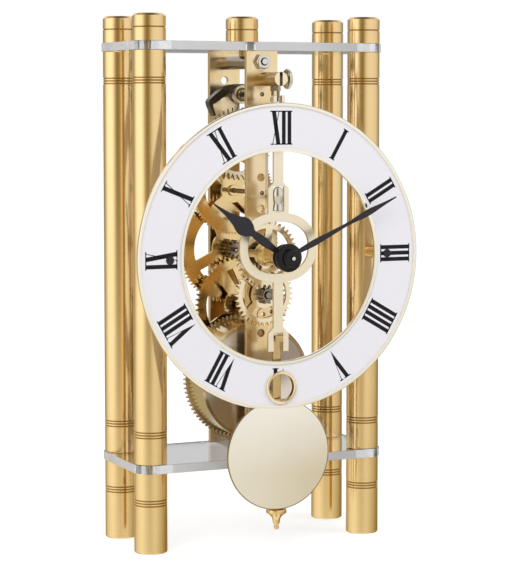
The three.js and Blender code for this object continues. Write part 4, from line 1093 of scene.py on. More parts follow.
@dataclass
class Case(Assembly):
    """Four turned pillars of foot, column and cap, a middle cap, and two clear shelves."""

    span_x: float = 88.6
    span_y: float = 31.0
    radius: float = 6.2
    soft: float = 0.15
    chamfer: float = 0.9
    foot_chamfer: float = 0.35
    cap_height: float = 10.1
    cap_groove: float = 5.1
    band: float = 11.1
    groove_depths: Point = (0.2, 0.4)
    stud: float = 2.5
    stud_reach: float = 7.0
    middle_stud: float = 1.2
    middle_reach: float = 4.0
    shelf_margin: float = 0.5
    shelf_edge: float = 0.2
    window: Point = (4.4, 8.6)
    clear_corner: Point = (8.0, 30.0)
    shelf: float = 3.3
    corners: tuple = (("front_left", -1, -1), ("front_right", 1, -1), ("back_left", -1, 1),
                      ("back_right", 1, 1))

    def build(self) -> None:
        """Makes the pillars, the middle cap and the shelves."""
        for name, side_x, side_y in self.corners:
            x, y = side_x * self.span_x / 2, side_y * self.span_y / 2
            parts = {
                "foot": self.foot((x, y, 0.0)),
                "column": self.column((x, y, PLACE.lower_top)),
                "cap": self.cap((x, y, PLACE.upper_top), self.stud, self.shelf + self.stud_reach),
            }
            for kind, mesh in parts.items():
                self.finish_pillar(f"{kind}_{name}", mesh, (x, y))
        middle = self.cap((0.0, 0.0, PLACE.upper_top), self.middle_stud, self.shelf + self.middle_reach)
        self.finish_pillar("cap_center", middle, (0.0, 0.0))
        for name, low in (("lower_shelf", PLACE.foot_top), ("upper_shelf", PLACE.upper_bottom)):
            self.place(f"clear_{name}", self.shelf_mesh(low), (CLEAR, CLEAR_EDGE, CLEAR_SIDE), node=name)

    def finish_pillar(self, node: str, mesh: Mesh, axis: Point) -> None:
        """Gives a pillar's piece its gold, with a darker gold as painted shade in the turned grooves and on
        the stud.

        Args:
            node: the frame's node that it stands for.
            mesh: its mesh.
            axis: its axis across and deep.
        """
        near, far = self.groove_depths

        def groove(middle: Vector, normal: Vector) -> int:
            """Picks a face's slot, the darker gold being painted shade.

            Args:
                middle: the face's middle.
                normal: its normal.

            Returns:
                1, the painted shade, in a groove and on the stud, 0 elsewhere.
            """
            reach = math.hypot(middle.x - axis[0], middle.y - axis[1])
            cut = near < self.radius - reach < far or reach < self.stud + 0.1
            return int(cut and abs(normal.z) < 0.9)

        # The second finish paints shade into the grooves and onto the studs.
        self.place(f"turned_{node}", by_face(mesh, groove), (SATIN_GOLD, GROOVE_SHADE_GOLD), node=node)

    def foot(self, at: Spot) -> Mesh:
        """A foot with its stud up through the shelf.

        Args:
            at: the middle of its base.

        Returns:
            The mesh.
        """
        r, top, chamfer = self.radius, PLACE.foot_top, self.foot_chamfer
        end = PLACE.lower_top + self.stud_reach
        lower = soften([(0, 0), (r - chamfer, 0), (r, chamfer), (r, 6)], 0.1)[:-1]
        stud = [(self.stud, top), (self.stud, end), (0, end)]
        upper = soften([(r, top - 4), (r, top), *stud], self.soft)[1:]
        return lathe([*lower, *groove_band(r, top - self.band, 3), *upper], Axis.Z, at)

    def column(self, at: Spot) -> Mesh:
        """A column with a groove band near each end and a bore for each stud.

        Args:
            at: the middle of its lower end.

        Returns:
            The mesh.
        """
        r, height = self.radius, PLACE.upper_bottom - PLACE.lower_top
        bore, depth = self.stud + PLAY, self.stud_reach + PLAY
        lower = soften([(0, depth), (bore, depth), (bore, 0), (r, 0), (r, 5)], self.soft)[:-1]
        upper = soften([(r, height - 5), (r, height), (bore, height), (bore, height - depth),
                        (0, height - depth)], self.soft)[1:]
        bands = [*groove_band(r, self.band, 3), *groove_band(r, height - self.band, 3)]
        return lathe([*lower, *bands, *upper], Axis.Z, at)

    def cap(self, at: Spot, stud: float, reach: float) -> Mesh:
        """A cap with one groove and a stud down through the shelf.

        Args:
            at: the middle of its underside.
            stud: radius of the stud.
            reach: length of the stud.

        Returns:
            The mesh.
        """
        r, top, chamfer = self.radius, self.cap_height, self.chamfer
        lower = soften([(0, -reach), (stud, -reach), (stud, 0), (r, 0), (r, 3)], self.soft)[:-1]
        upper = soften([(r, 7), (r, top - chamfer), (r - chamfer, top), (0, top)], self.soft)[1:]
        return lathe([*lower, *groove_band(r, self.cap_groove, 1), *upper], Axis.Z, at)

    def shelf_mesh(self, low: float) -> Mesh:
        """A clear shelf with round corners and stud holes, its edge clear only in front of the studs.

        Args:
            low: height of its underside.

        Returns:
            The mesh, with slots for its faces, its long edges and its ends.
        """
        r, x, y = self.radius + self.shelf_margin, self.span_x / 2, self.span_y / 2
        near, far = self.window
        outline: Loop = []
        for turn, (side_x, side_y) in enumerate(((1, 1), (-1, 1), (-1, -1), (1, -1))):
            start = turn * QUARTER
            outline += arc(r, start, start + QUARTER, 12, side_x * x, side_y * y)
            if side_x * side_y > 0:
                inner = (x - self.radius, far, near, self.radius - x)
                outline += [(side_x * across, side_y * (y + r)) for across in inner]
        holes = [circle(self.stud + PLAY, a * x, b * y) for _, a, b in self.corners]
        holes.append(circle(self.middle_stud + PLAY))
        mesh = sheet(outline, holes, 0.0, self.shelf, self.shelf_edge)
        mesh.transform(Matrix.Translation((0, 0, low)) @ Matrix.Rotation(-QUARTER, 4, "X"))

        def edge(middle: Vector, normal: Vector) -> int:
            """Picks a face's slot.

            Args:
                middle: the face's middle.
                normal: its normal.

            Returns:
                1 on the long sawn edges away from the studs, 2 on the short ones, 0 elsewhere.
            """
            across = math.copysign(middle.x, middle.x * middle.y)
            if abs(normal.z) > 0.5 or near < across < far:
                return 0
            if abs(middle.y) > y + r - 2 and abs(middle.x) < x - self.radius:
                return 1
            side_x, side_y = max(abs(middle.x) - x, 0.0), max(abs(middle.y) - y, 0.0)
            slant = abs(math.degrees(math.atan2(side_y, side_x)) - 45)
            return 0 if self.clear_corner[0] < slant < self.clear_corner[1] else 2

        return by_face(mesh, edge)


@dataclass
class MovementFrame(Assembly):
    """The two narrow plates, their top pillar with its nut, and the bar at the foot."""

    half: float = 6.4
    thickness: float = 2.0
    edge: float = 0.12
    notch_edge: float = 1.4
    notch_above: float = 20.0
    notch_below: float = 12.5
    pivot_hole: float = 0.8
    tenon_hole: float = 1.5
    bar_hole: float = 1.0
    winding_hole: float = 3.13
    hand_hole: float = 2.2
    steady_x: float = -0.5
    steadies: tuple = (139.192, 127.392, 80.32)
    cock_foot: Point = (0.4, 87.4)
    cock_radius: float = 2.5
    cock: float = 0.5
    minute_stud: float = 1.2
    minute_stud_tip: float = -24.5
    pillar: float = 2.55
    tenon: float = 1.2
    bar_size: Spot = (8.0, 33.0, 3.4)
    bar_stud: float = 0.7
    nut_across: float = 5.4
    bar_nut_across: float = 3.2
    nut_height: float = 2.2
    nut_face: float = 0.35
    thread_tip: float = PLACE.front_face - 2.9
    screw_head: Point = (2.4, 1.6)
    screw_shank: Point = (1.2, 1.4)

    def build(self) -> None:
        """Makes the plates, the pillar, the bar and their nuts and screw."""
        self.place("front_plate_cut", self.front_plate(), (PLATE_BRASS, STEEL), node="front_plate")
        outline = rectangle(-self.half, self.half, PLACE.lower_top, PLACE.upper_bottom)
        holes = [*self.shared_holes(), circle(self.pivot_hole, *PLACE.center, 20)]
        back = sheet(outline, holes, PLACE.back_face, self.thickness, self.edge)
        self.place("back_plate_cut", back, PLATE_BRASS, node="back_plate")
        self.place("top_pillar_turned", self.top_pillar(), (PILLAR_STEEL, NICKEL), node="top_pillar")
        nut = self.hex_nut(PLACE.top_pillar, self.nut_across, self.tenon_hole)
        self.place("top_nut", nut, (NICKEL, PILLAR_STEEL), node="nut_top")
        stud = soften(shaft(self.thread_tip, (self.bar_stud, PLACE.back_face)), 0.15)
        bar = block(self.bar_size, (PLACE.bar[0], 0, PLACE.bar[1]), 0.15)
        self.place("foot_bar", joined(bar, spin(stud, PLACE.bar, 24)), PILLAR_STEEL, node="bottom_bar")
        nut = self.hex_nut(PLACE.bar, self.bar_nut_across, self.bar_hole)
        self.place("foot_nut", nut, (NICKEL, PILLAR_STEEL), node="nut_bottom")
        self.place("shelf_screw", self.shelf_screw(), NICKEL, node="base_screw")

    def shared_holes(self) -> list[Loop]:
        """Holes that both plates have.

        Returns:
            A loop for each hole.
        """
        pivots = (PLACE.pallets, PLACE.escape, PLACE.third, PLACE.intermediate)
        holes = [circle(self.pivot_hole, *spot, 20) for spot in pivots]
        holes += [circle(self.tenon_hole, *spot, 24) for spot in (PLACE.top_pillar, PLACE.post)]
        return [*holes, circle(self.winding_hole, *PLACE.barrel, 32), circle(self.bar_hole, *PLACE.bar, 20)]

    def front_plate(self) -> Mesh:
        """The front plate, cut away on the right for the crutch, with a cock and the minute wheel's stud.

        Returns:
            The mesh, with its second slot on the stud.
        """
        h, low, high = self.half, PLACE.lower_top, PLACE.upper_bottom
        notch_low, notch_high = PLACE.third[1] - self.notch_below, PLACE.third[1] + self.notch_above
        outline = [(-h, low), (h, low), (h, notch_low), (self.notch_edge, notch_low),
                   (self.notch_edge, notch_high), (h, notch_high), (h, high), (-h, high)]
        holes = [*self.shared_holes(), circle(self.hand_hole, *PLACE.center, 28),
                 circle(self.tenon_hole, *PLACE.click, 24)]
        holes += [circle(self.tenon_hole, self.steady_x, height, 24) for height in self.steadies]
        holes.append(circle(self.pivot_hole, *self.cock_foot, 20))
        plate = sheet(outline, holes, PLACE.front_inner, self.thickness, self.edge)
        tilt = toward(self.cock_foot, PLACE.intermediate)
        oval = [*arc(self.cock_radius, tilt - QUARTER, tilt + QUARTER, 16, *PLACE.intermediate),
                *arc(self.cock_radius, tilt + QUARTER, tilt + 3 * QUARTER, 16, *self.cock_foot)]
        pierced = [circle(self.pivot_hole, *spot, 20) for spot in (self.cock_foot, PLACE.intermediate)]
        cock = sheet(oval, pierced, PLACE.front_face, self.cock, self.edge)
        stud = shaft(self.minute_stud_tip, (self.minute_stud, PLACE.front_face + 0.5))
        return joined(plate, cock, second(spin(soften(stud, 0.2), PLACE.minute, 32)))

    def top_pillar(self) -> Mesh:
        """The steel pillar with its threaded end through the nut.

        Returns:
            The mesh, with its second slot, a brighter nickel as a painted highlight, on the threaded end.
        """
        profile = shaft(self.thread_tip, (self.tenon, PLACE.front_inner), (self.pillar, PLACE.back_inner),
                        (self.tenon, PLACE.back_face))
        turned = spin(soften(profile, 0.25), PLACE.top_pillar)
        # The threaded end in front of the plate takes a brighter nickel: a painted highlight on the one steel
        # pillar.
        return by_face(turned, lambda middle, normal: int(middle.y < PLACE.front_face))

    def hex_nut(self, at: Point, across: float, bore: float) -> Mesh:
        """A hexagon nut with a round washer face.

        Args:
            at: its axis.
            across: width across its flats.
            bore: radius of its hole.

        Returns:
            The mesh, with its second slot, a darker steel as painted shade, on the flats.
        """
        corners, height = circle(across / math.sqrt(3), *at, 6), self.nut_height - self.nut_face
        nut = sheet(corners, [circle(bore, *at, 24)], PLACE.front_face, height, 0.18)
        seat, front = PLACE.front_face - height + 0.1, PLACE.front_face - self.nut_height
        face = [(bore, seat), (bore, front), (across / 2 - 0.25, front), (across / 2, seat)]
        # The flats take a darker steel than the face: painted shade on the one nut.
        nut = by_face(nut, lambda middle, normal: int(abs(normal.y) < 0.3))
        return joined(nut, spin(soften(face, 0.12), at, closed=True))

    def shelf_screw(self) -> Mesh:
        """The slotted screw up through the lower shelf into the bar.

        Returns:
            The mesh.
        """
        (head, height), (shank, reach) = self.screw_head, self.screw_shank
        low = PLACE.foot_top - height
        profile = soften(shaft(low, (head, PLACE.foot_top), (shank, PLACE.lower_top + reach)), 0.2)
        return carved(lathe(profile, Axis.Z, (0, 0, 0), 40), block((6.0, 0.6, 1.2), (0, 0, low), 0.01))


def plain_arbor(at: Point, body: float = 0.9, pivot: float = 0.5) -> Mesh:
    """A plain arbor between the plates, with the radius of its body and of its pivots."""
    profile = shaft(PLACE.front_face + PLAY, (pivot, PLACE.front_inner + PLAY),
                    (body, PLACE.back_inner - PLAY), (pivot, PLACE.back_face - PLAY))
    return spin(soften(profile, 0.1), at, 32)


@dataclass
class GoingTrain(Assembly):
    """The intermediate, center, third and escape arbors with their wheels."""

    bore: float = 1.05
    collet: float = 2.2
    center_module: float = 0.64
    center_pinion: Point = (11.2, 5.4)
    escape_teeth: int = 42
    escape_root: float = 12.0
    escape_tip: float = 14.1
    escape_back: float = 4.1
    escape_phase: float = 0.68
    escape_rim: float = 1.3

    def build(self) -> None:
        """Makes each arbor with its pinion and each wheel."""
        pinions = (
            ("intermediate", PLACE.intermediate, PLACE.barrel, 12, 0.56, 3.8, 4.6),
            ("third", PLACE.third, PLACE.center, 8, 0.52, 14.6, 3.6),
            ("escape", PLACE.escape, PLACE.third, 7, 0.4, 11.3, 4.4),
        )
        for name, own, mate, leaves, module, end, length in pinions:
            leafed = self.shop.pinion(leaves, module, own, end, length, toward(own, mate))
            collars = soften(shaft(end - length - 1.2, (module * (leaves / 2 - 0.9), end + 1.0)), 0.15)
            mesh = joined(plain_arbor(own), leafed, spin(collars, own, 32))
            self.place(f"{name}_arbor_cut", mesh, STEEL, name, f"{name}_arbor")
        self.center_arbor()
        self.wheels()
        self.escape_wheel()

    def center_arbor(self) -> None:
        """Makes the long arbor that runs on through the front plate to carry the hands."""
        front, back, tip = PLACE.front_inner + PLAY, PLACE.back_inner - PLAY, PLACE.arbor_tip
        rest = shaft(tip + 1.4, (1.0, front), (1.5, front + 2), (0.9, back), (0.5, PLACE.back_face - PLAY))
        profile = soften([(0, tip), (0.75, tip), (0.75, tip + 1.2), *rest[1:]], 0.2)
        end, length = self.center_pinion
        leafed = self.shop.pinion(10, self.center_module, PLACE.center, end, length,
                                  toward(PLACE.center, PLACE.intermediate))
        turned = spin(profile, PLACE.center)
        # The tip in front of the hand nut takes a bright nickel: a painted highlight on the one steel arbor.
        turned = by_face(turned, lambda middle, normal: int(middle.y < PLACE.hand_nut_back))
        self.place("center_arbor_cut", joined(turned, leafed), (STEEL, NICKEL), "center", "center_arbor")

    def hub(self, at: Point, back: float, front: float) -> Mesh:
        """A wheel's collet on its arbor."""
        return spin(soften(shaft(back, (self.collet, front), bore=self.bore), 0.2), at, closed=True)

    def wheels(self) -> None:
        """Makes the crossed wheels."""
        rows = (
            ("intermediate", PLACE.intermediate, PLACE.center, 60, self.center_module, 9.7,
             (7.2, 3.3, 4.4, 0.6)),
            ("center", PLACE.center, PLACE.third, 80, 0.52, 13.4, (7.2, 5.2, 4.2, 0.44)),
            ("third", PLACE.third, PLACE.escape, 84, 0.4, 9.7, (4.8, 4.6, 3.7, math.pi / 4)),
        )
        for name, own, mate, teeth, module, back, arms in rows:
            wheel = self.shop.gear(ToothForm.WHEEL, teeth, module, own, back, toward(own, mate),
                                   WHEEL_BRASS, circle(self.bore, steps=24), arms)
            mesh = joined(wheel, self.hub(own, back + 0.9, back - 2.3))
            self.place(f"{name}_wheel_cut", mesh, WHEEL_BRASS, name, f"{name}_wheel")

    def escape_wheel(self) -> None:
        """Makes the escape wheel, with a near-black brown round its rim and teeth as painted shade."""
        at, rim = PLACE.escape, self.escape_root - self.escape_rim
        blank = [circle(self.bore, steps=24), *windows(3.0, rim, self.escape_rim, math.pi / 4)]
        teeth, first = self.escape_teeth, self.escape_phase * TURN / self.escape_teeth
        wheel = self.shop.wheel(ToothForm.ESCAPE, blank, at, self.escape_back, PALE_BRASS, teeth=teeth,
                                root=self.escape_root, tip=self.escape_tip, first=first,
                                thickness=PLACE.wheel)
        # The rim and teeth are painted dark: painted shade on the one brass wheel.
        wheel = by_face(wheel, lambda middle, normal: int(off_axis(middle, at) > rim - 0.1))
        mesh = joined(wheel, self.hub(at, 5.2, 1.4))
        self.place("escape_wheel_cut", mesh, (PALE_BRASS, SHADE_DARK_BRASS), "escape", "escape_wheel")


@dataclass
class Barrel(Assembly):
    """The toothed drum with its cover, the winding arbor with its ratchet, and the click work."""

    outer: float = 22.3
    wall: float = 1.2
    mouth: float = -12.1
    floor: float = 0.5
    back: float = 2.5
    cover: float = 0.9
    lid_rim: float = 1.62
    bore: float = 3.3
    teeth: int = 84
    module: float = 0.56
    arbor: float = 3.0
    core: float = 4.0
    square: float = 4.0
    ratchet_back: float = -18.8
    ratchet: float = 1.5
    ratchet_root: float = 5.0
    ratchet_tip: float = 6.0

    def build(self) -> None:
        """Makes the drum, the cover, the winding work and the click work."""
        self.place("barrel_drum", self.drum(), (DRUM_BRASS, TOOTH_SHADE_BRASS), "barrel", "barrel")
        self.place("barrel_lid", self.lid(), (SPUN_NICKEL, DRUM_BRASS), "barrel", "barrel_cover")
        self.place("winding_arbor_cut", self.winding_arbor(), STEEL, "winding", "winding_arbor")
        half = self.square / 2 + PLAY
        ratchet = self.shop.wheel(ToothForm.RATCHET, [rectangle(-half, half, -half, half)], PLACE.barrel,
                                  self.ratchet_back, PLATE_BRASS, 0.06, teeth=24, root=self.ratchet_root,
                                  tip=self.ratchet_tip, first=math.pi, thickness=self.ratchet)
        self.place("ratchet_cut", ratchet, PLATE_BRASS, "winding", "ratchet_wheel")
        self.click_work()

    def drum(self) -> Mesh:
        """The drum with the great wheel's teeth round its back.

        Returns:
            The mesh, with its second slot, a darker brass as painted shade, on the toothed wheel.
        """
        first = toward(PLACE.barrel, PLACE.intermediate)
        # The teeth behind the drum take a darker brass than the drum: painted shade.
        great = self.shop.gear(ToothForm.WHEEL, self.teeth, self.module, PLACE.barrel, self.back, first,
                               TOOTH_SHADE_BRASS, circle(self.bore, steps=32), (), self.back - self.floor)
        wall = shaft(self.floor + 0.2, (self.outer, self.mouth), bore=self.outer - self.wall)
        return joined(second(great), spin(soften(wall, 0.25, closed=True), PLACE.barrel, 120, closed=True))

    def lid(self) -> Mesh:
        """The cover, spun on its face, with a brass rim and a raised hub.

        Returns:
            The mesh, with its second slot on the rim.
        """
        front, outer = self.mouth - self.cover, self.outer
        profile = [(self.bore, self.mouth), (outer, self.mouth), (outer, front), (outer - 1.5, front),
                   (outer - 1.6, front + 0.3), (7.0, front + 0.3), (6.8, front), (self.bore, front)]
        mesh = spin(soften(profile, 0.12, closed=True), PLACE.barrel, 120, closed=True)
        rim = outer - self.lid_rim
        return by_face(mesh, lambda middle, normal: int(off_axis(middle, PLACE.barrel) > rim))

    def winding_arbor(self) -> Mesh:
        """The winding arbor with its core and its square.

        Returns:
            The mesh.
        """
        x, z = PLACE.barrel
        pivot = self.square / math.sqrt(2)
        profile = shaft(PLACE.front_face, (pivot, PLACE.front_inner + PLAY),
                        (self.arbor, self.mouth + PLAY), (self.core, self.floor - PLAY),
                        (self.arbor, PLACE.back_inner - PLAY), (pivot, PLACE.back_face - PLAY))
        square = block((self.square, 9.0, self.square), (x, PLACE.front_face - 3.5, z), 0.3)
        return joined(spin(soften(profile, 0.15), PLACE.barrel, 48), square)

    def click_work(self) -> None:
        """Makes the click, its screw and its spring."""
        x, z = PLACE.click
        edge = -self.ratchet_tip
        nose = [(edge - 0.05, edge * 0.43), (edge + 0.25, -0.9), (edge + 0.65, -0.35), (edge - 0.6, -0.4),
                (edge - 1.1, edge * 0.43)]
        nose = moved(nose, -x, PLACE.barrel[1] - z)
        outline = [(-1.3, -5), (0.4, -5), (1.9, -1.2), (1.9, 1.2), (0.6, 4.2), *nose, (-1.9, 1.2),
                   (-1.9, -1.2)]
        click = sheet(moved(outline, x, z), [circle(1.5, x, z, 24)], self.ratchet_back, self.ratchet, 0.08)
        self.place("click_cut", click, NICKEL, "click", "click")
        head = self.ratchet_back - self.ratchet - PLAY / 2
        profile = soften(shaft(head - 1, (1.9, head), (1.2, PLACE.front_inner)), 0.25)
        screw = carved(spin(profile, PLACE.click), block((6, 0.7, 0.6), (x, head - 1, z), 0.01))
        self.place("click_screw_cut", screw, NICKEL, node="click_screw")
        low = z - 4.6
        path = rounded_path([(4.6, low + 6, 0), (4.6, low + 1.6, 0), (3.0, low, 0), (-2.6, low, 0)], 1.2)
        strip = bent_strip([spot[:2] for spot in path], 0.6)
        spring = sheet(strip, [], PLACE.front_face, self.ratchet, 0.08)
        self.place("click_spring_bent", spring, STEEL, node="click_spring")


@dataclass
class Escapement(Assembly):
    """The bent anchor on its arbor, and the crutch with its bright pin."""

    width: float = 3.6
    thickness: float = 1.1
    edge: float = 0.12
    swell: tuple = ((0, 1.9), (1, 2.0), (2, 2.7), (3, 2.5), (4, 1.6), (5, 0.7))
    plane: float = 3.5
    collet: float = 3.5
    pallet_reach: float = 15.05
    pallet_angle: float = math.radians(44)
    wheel_drop: float = 18.9
    bore: float = 1.05
    crutch_offset: float = 4.2
    crutch_depth: float = -13.1
    crutch_drop: float = 38.7
    crutch_bend: float = 2.4
    wire_radius: float = 0.75
    pin: tuple = ((0, -4.5), (1.75, -4.45), (2.05, -4.2), (2.05, -3.5), (1.85, -2.7), (1.7, -2.0),
                  (1.72, -1.2), (1.9, -0.3), (2.06, 0.8), (2.08, 1.8), (1.96, 2.9), (1.6, 3.8),
                  (0.95, 4.4), (0, 4.6))

    def build(self) -> None:
        """Makes the arbor with its collet, the anchor and the crutch."""
        end, r = self.plane - self.width / 2 - PLAY / 2, self.collet
        ring = soften([(0.9, end), (r, end), (r, end - 2), (r - 0.9, end - 2), (r - 1.1, end - 1.6),
                       (1.6, end - 1.6), (1.5, end - 2.3), (0.9, end - 2.3)], 0.08, closed=True)
        arbor = joined(plain_arbor(PLACE.pallets), spin(ring, PLACE.pallets, 56, closed=True))

        def ring_finish(middle: Vector, normal: Vector) -> int:
            """Picks a face's slot.

            Args:
                middle: the face's middle.
                normal: its normal.

            Returns:
                0 on the bright rings, 1 on the shaft's end, 2, painted shade, in the groove between.
            """
            reach = off_axis(middle, PLACE.pallets)
            if reach < 1.45:
                return 1
            # The recessed ring between the bright rings takes the near-black brown: painted shade.
            return 2 if 1.95 < reach < r - 0.85 else 0

        self.place("pallet_arbor_turned", by_face(arbor, ring_finish), (PALE_BRASS, STEEL, SHADE_DARK_BRASS),
                   "pallets", "pallet_arbor")
        self.place("anchor_bent", self.anchor(), ANCHOR_STEEL, "pallets", "pallet_anchor")
        self.place("crutch_bent", self.crutch(), NICKEL, "pallets", "crutch")

    def anchor(self) -> Mesh:
        """A strip of steel bent over the collet, with a pallet at each end.

        Returns:
            The mesh.
        """
        reach, angle, back = self.pallet_reach, self.pallet_angle, self.plane + self.width / 2
        tip = (reach * math.sin(angle), reach * math.cos(angle) - self.wheel_drop)
        elbow = (tip[0] + 1.7, tip[1] + 5.4)
        crown = self.collet - self.thickness / 2
        side = [(1.6, crown), (5.2, crown - 1.1), (elbow[0] - 1.5, elbow[1] + 0.75),
                (elbow[0], elbow[1] - 0.8), tip]
        path = smooth_line([*[(-a, b) for a, b in reversed(side)], (0, crown + 0.05), *side])
        right = [b for _, b in smooth_line([(t, self.thickness * share) for t, share in self.swell])]
        strip = moved(bent_strip(path, [*reversed(right), *right[1:]]), *PLACE.pallets)
        hub = circle(self.collet - 0.2, *PLACE.pallets, 48)
        bore = circle(self.bore, *PLACE.pallets, 24)
        return joined(sheet(strip, [], back, self.width, self.edge),
                      sheet(hub, [bore], back, self.width, self.edge))

    def crutch(self) -> Mesh:
        """A bent wire from the arbor down behind the leader, with a polished pin in the leader's slot.

        Returns:
            The mesh.
        """
        x, z = PLACE.pallets
        depth, offset, drop = self.crutch_depth, self.crutch_offset, self.crutch_drop
        hub = soften(shaft(depth + 1.2, (2.6, depth - 1.2), bore=self.bore), 0.25, closed=True)
        route = [(1.9, depth, -0.6), (offset - 0.5, depth, -5), (offset, depth, -9), (offset, depth, -drop),
                 (offset, PLACE.front_face - 5, -drop), (0.6, PLACE.leader_back + 2.6, -drop),
                 (0.0, PLACE.leader_back + 0.6, -drop)]
        bends = rounded_path([(x + a, b, z + c) for a, b, c in route], self.crutch_bend, 8)
        pin = lathe(self.pin, Axis.Z, (x, PLACE.leader_middle, z - drop), 40)
        return joined(spin(hub, PLACE.pallets, closed=True), wire(bends, self.wire_radius), pin)


@dataclass
class Suspension(Assembly):
    """The slotted post, its thumb screw and the two-leaf spring."""

    post_radius: float = 2.65
    post_front: float = -35.397
    tenon: float = 1.2
    screw_hole: float = 1.5
    middle: float = -30.397
    width: float = 6.8
    leaf: float = 2.0
    leaf_thickness: float = 0.4
    block: float = 1.2
    block_play: float = 0.06
    lower_block: float = 1.6
    flex: float = 1.2
    pin: Point = (0.4, 2.0)
    thumb_radius: float = 3.75
    thumb: float = 1.3
    thumb_start: float = 4.25
    ridges: int = 60

    def build(self) -> None:
        """Makes the post, the screw and the spring."""
        self.place("suspension_post_turned", self.post(), (CREAM_BRASS, HOOK_BRASS), node="suspension_post")
        self.place("thumb_screw_turned", self.thumb_screw(), NICKEL, "thumb_screw", "thumb_screw")
        spring = self.place("spring_leaves", self.spring(), SPRING_STEEL, "", "suspension_spring")
        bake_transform(spring)

    def post(self) -> Mesh:
        """The post with its slotted end.

        Returns:
            The mesh, with its second slot, a darker brass, on all but the end: the pale end face is a painted
            highlight and the darker sides are painted shade on one brass.
        """
        r, front = self.post_radius, self.post_front
        x, z = PLACE.post
        profile = soften(shaft(front, (r, PLACE.front_face), (self.tenon, PLACE.front_inner)), 0.2)
        slot_back = self.middle + self.width / 2 + PLAY
        slot_size = (self.block, slot_back - front + 1, 2 * r + 1)
        slot = block(slot_size, (x, (slot_back + front - 1) / 2, z), 0.01)
        hole = lathe(shaft(0, (self.screw_hole, 2 * r)), Axis.X, (x, self.middle, z), 28)
        post = carved(carved(spin(profile, PLACE.post, 56), slot), hole)
        # The end face keeps the pale brass as a painted highlight and the sides take the darker brass as
        # painted shade.
        return by_face(post, lambda middle, normal: int(normal.y > -0.9))

    def thumb_screw(self) -> Mesh:
        """The screw with its dished and knurled head.

        Returns:
            The mesh.
        """
        x, z = PLACE.post
        r, start, end = self.thumb_radius, self.thumb_start, self.thumb_start + self.thumb
        profile = [(0, 0.62), (1.2, 0.62), (1.2, start - 1), (1.8, start + 0.1), (r - 1.0, start + 0.35),
                   (r - 0.55, start), (r - 0.2, start + 0.05), (r - 0.1, start + 0.3), (r - 0.1, end - 0.3),
                   (r - 0.4, end), (r - 1.1, end), (r - 1.5, end - 0.3), (0, end - 0.3)]
        head = lathe(profile, Axis.X, (x, self.middle, z), 64)
        prism = ((-0.1, -0.13), (-0.1, 0.13), (0.1, 0.0))
        ridge = mesh_of("ridge", [(*spot, height) for height in (0, 0.7) for spot in prism],
                        [(0, 1, 2), (3, 5, 4), (0, 3, 4, 1), (1, 4, 5, 2), (2, 5, 3, 0)])
        knurl = self.shop.rings.make(ridge, self.ridges, r - 0.1, self.shop.dress(NICKEL))
        seat = Matrix.Translation((x + start + 0.3, self.middle, z))
        knurl.transform(seat @ Matrix.Rotation(QUARTER, 4, "Y"))
        return joined(head, knurl)

    def spring(self) -> Mesh:
        """Two leaves between two blocks, with the pin that the leader hangs on.

        Returns:
            The mesh.
        """
        x, z = PLACE.pallets
        top, wide, flex = PLACE.post[1] + 1.2, self.block - self.block_play, self.flex
        hang = z - flex - self.lower_block / 2
        upper = block((wide, self.width, top - z - flex), (x, self.middle, (top + z + flex) / 2))
        lower = block((wide, self.width, self.lower_block), (x, self.middle, hang))
        leaf = (self.leaf_thickness, self.leaf, 2 * flex + 0.4)
        offset = self.width / 2 - self.leaf / 2
        leaves = [block(leaf, (x, self.middle + side * offset, z), 0.05) for side in (-1, 1)]
        radius, half = self.pin
        pin = lathe(soften(shaft(-half, (radius, half)), 0.1), Axis.X, (x, PLACE.leader_middle, hang), 20)
        return joined(upper, lower, *leaves, pin)


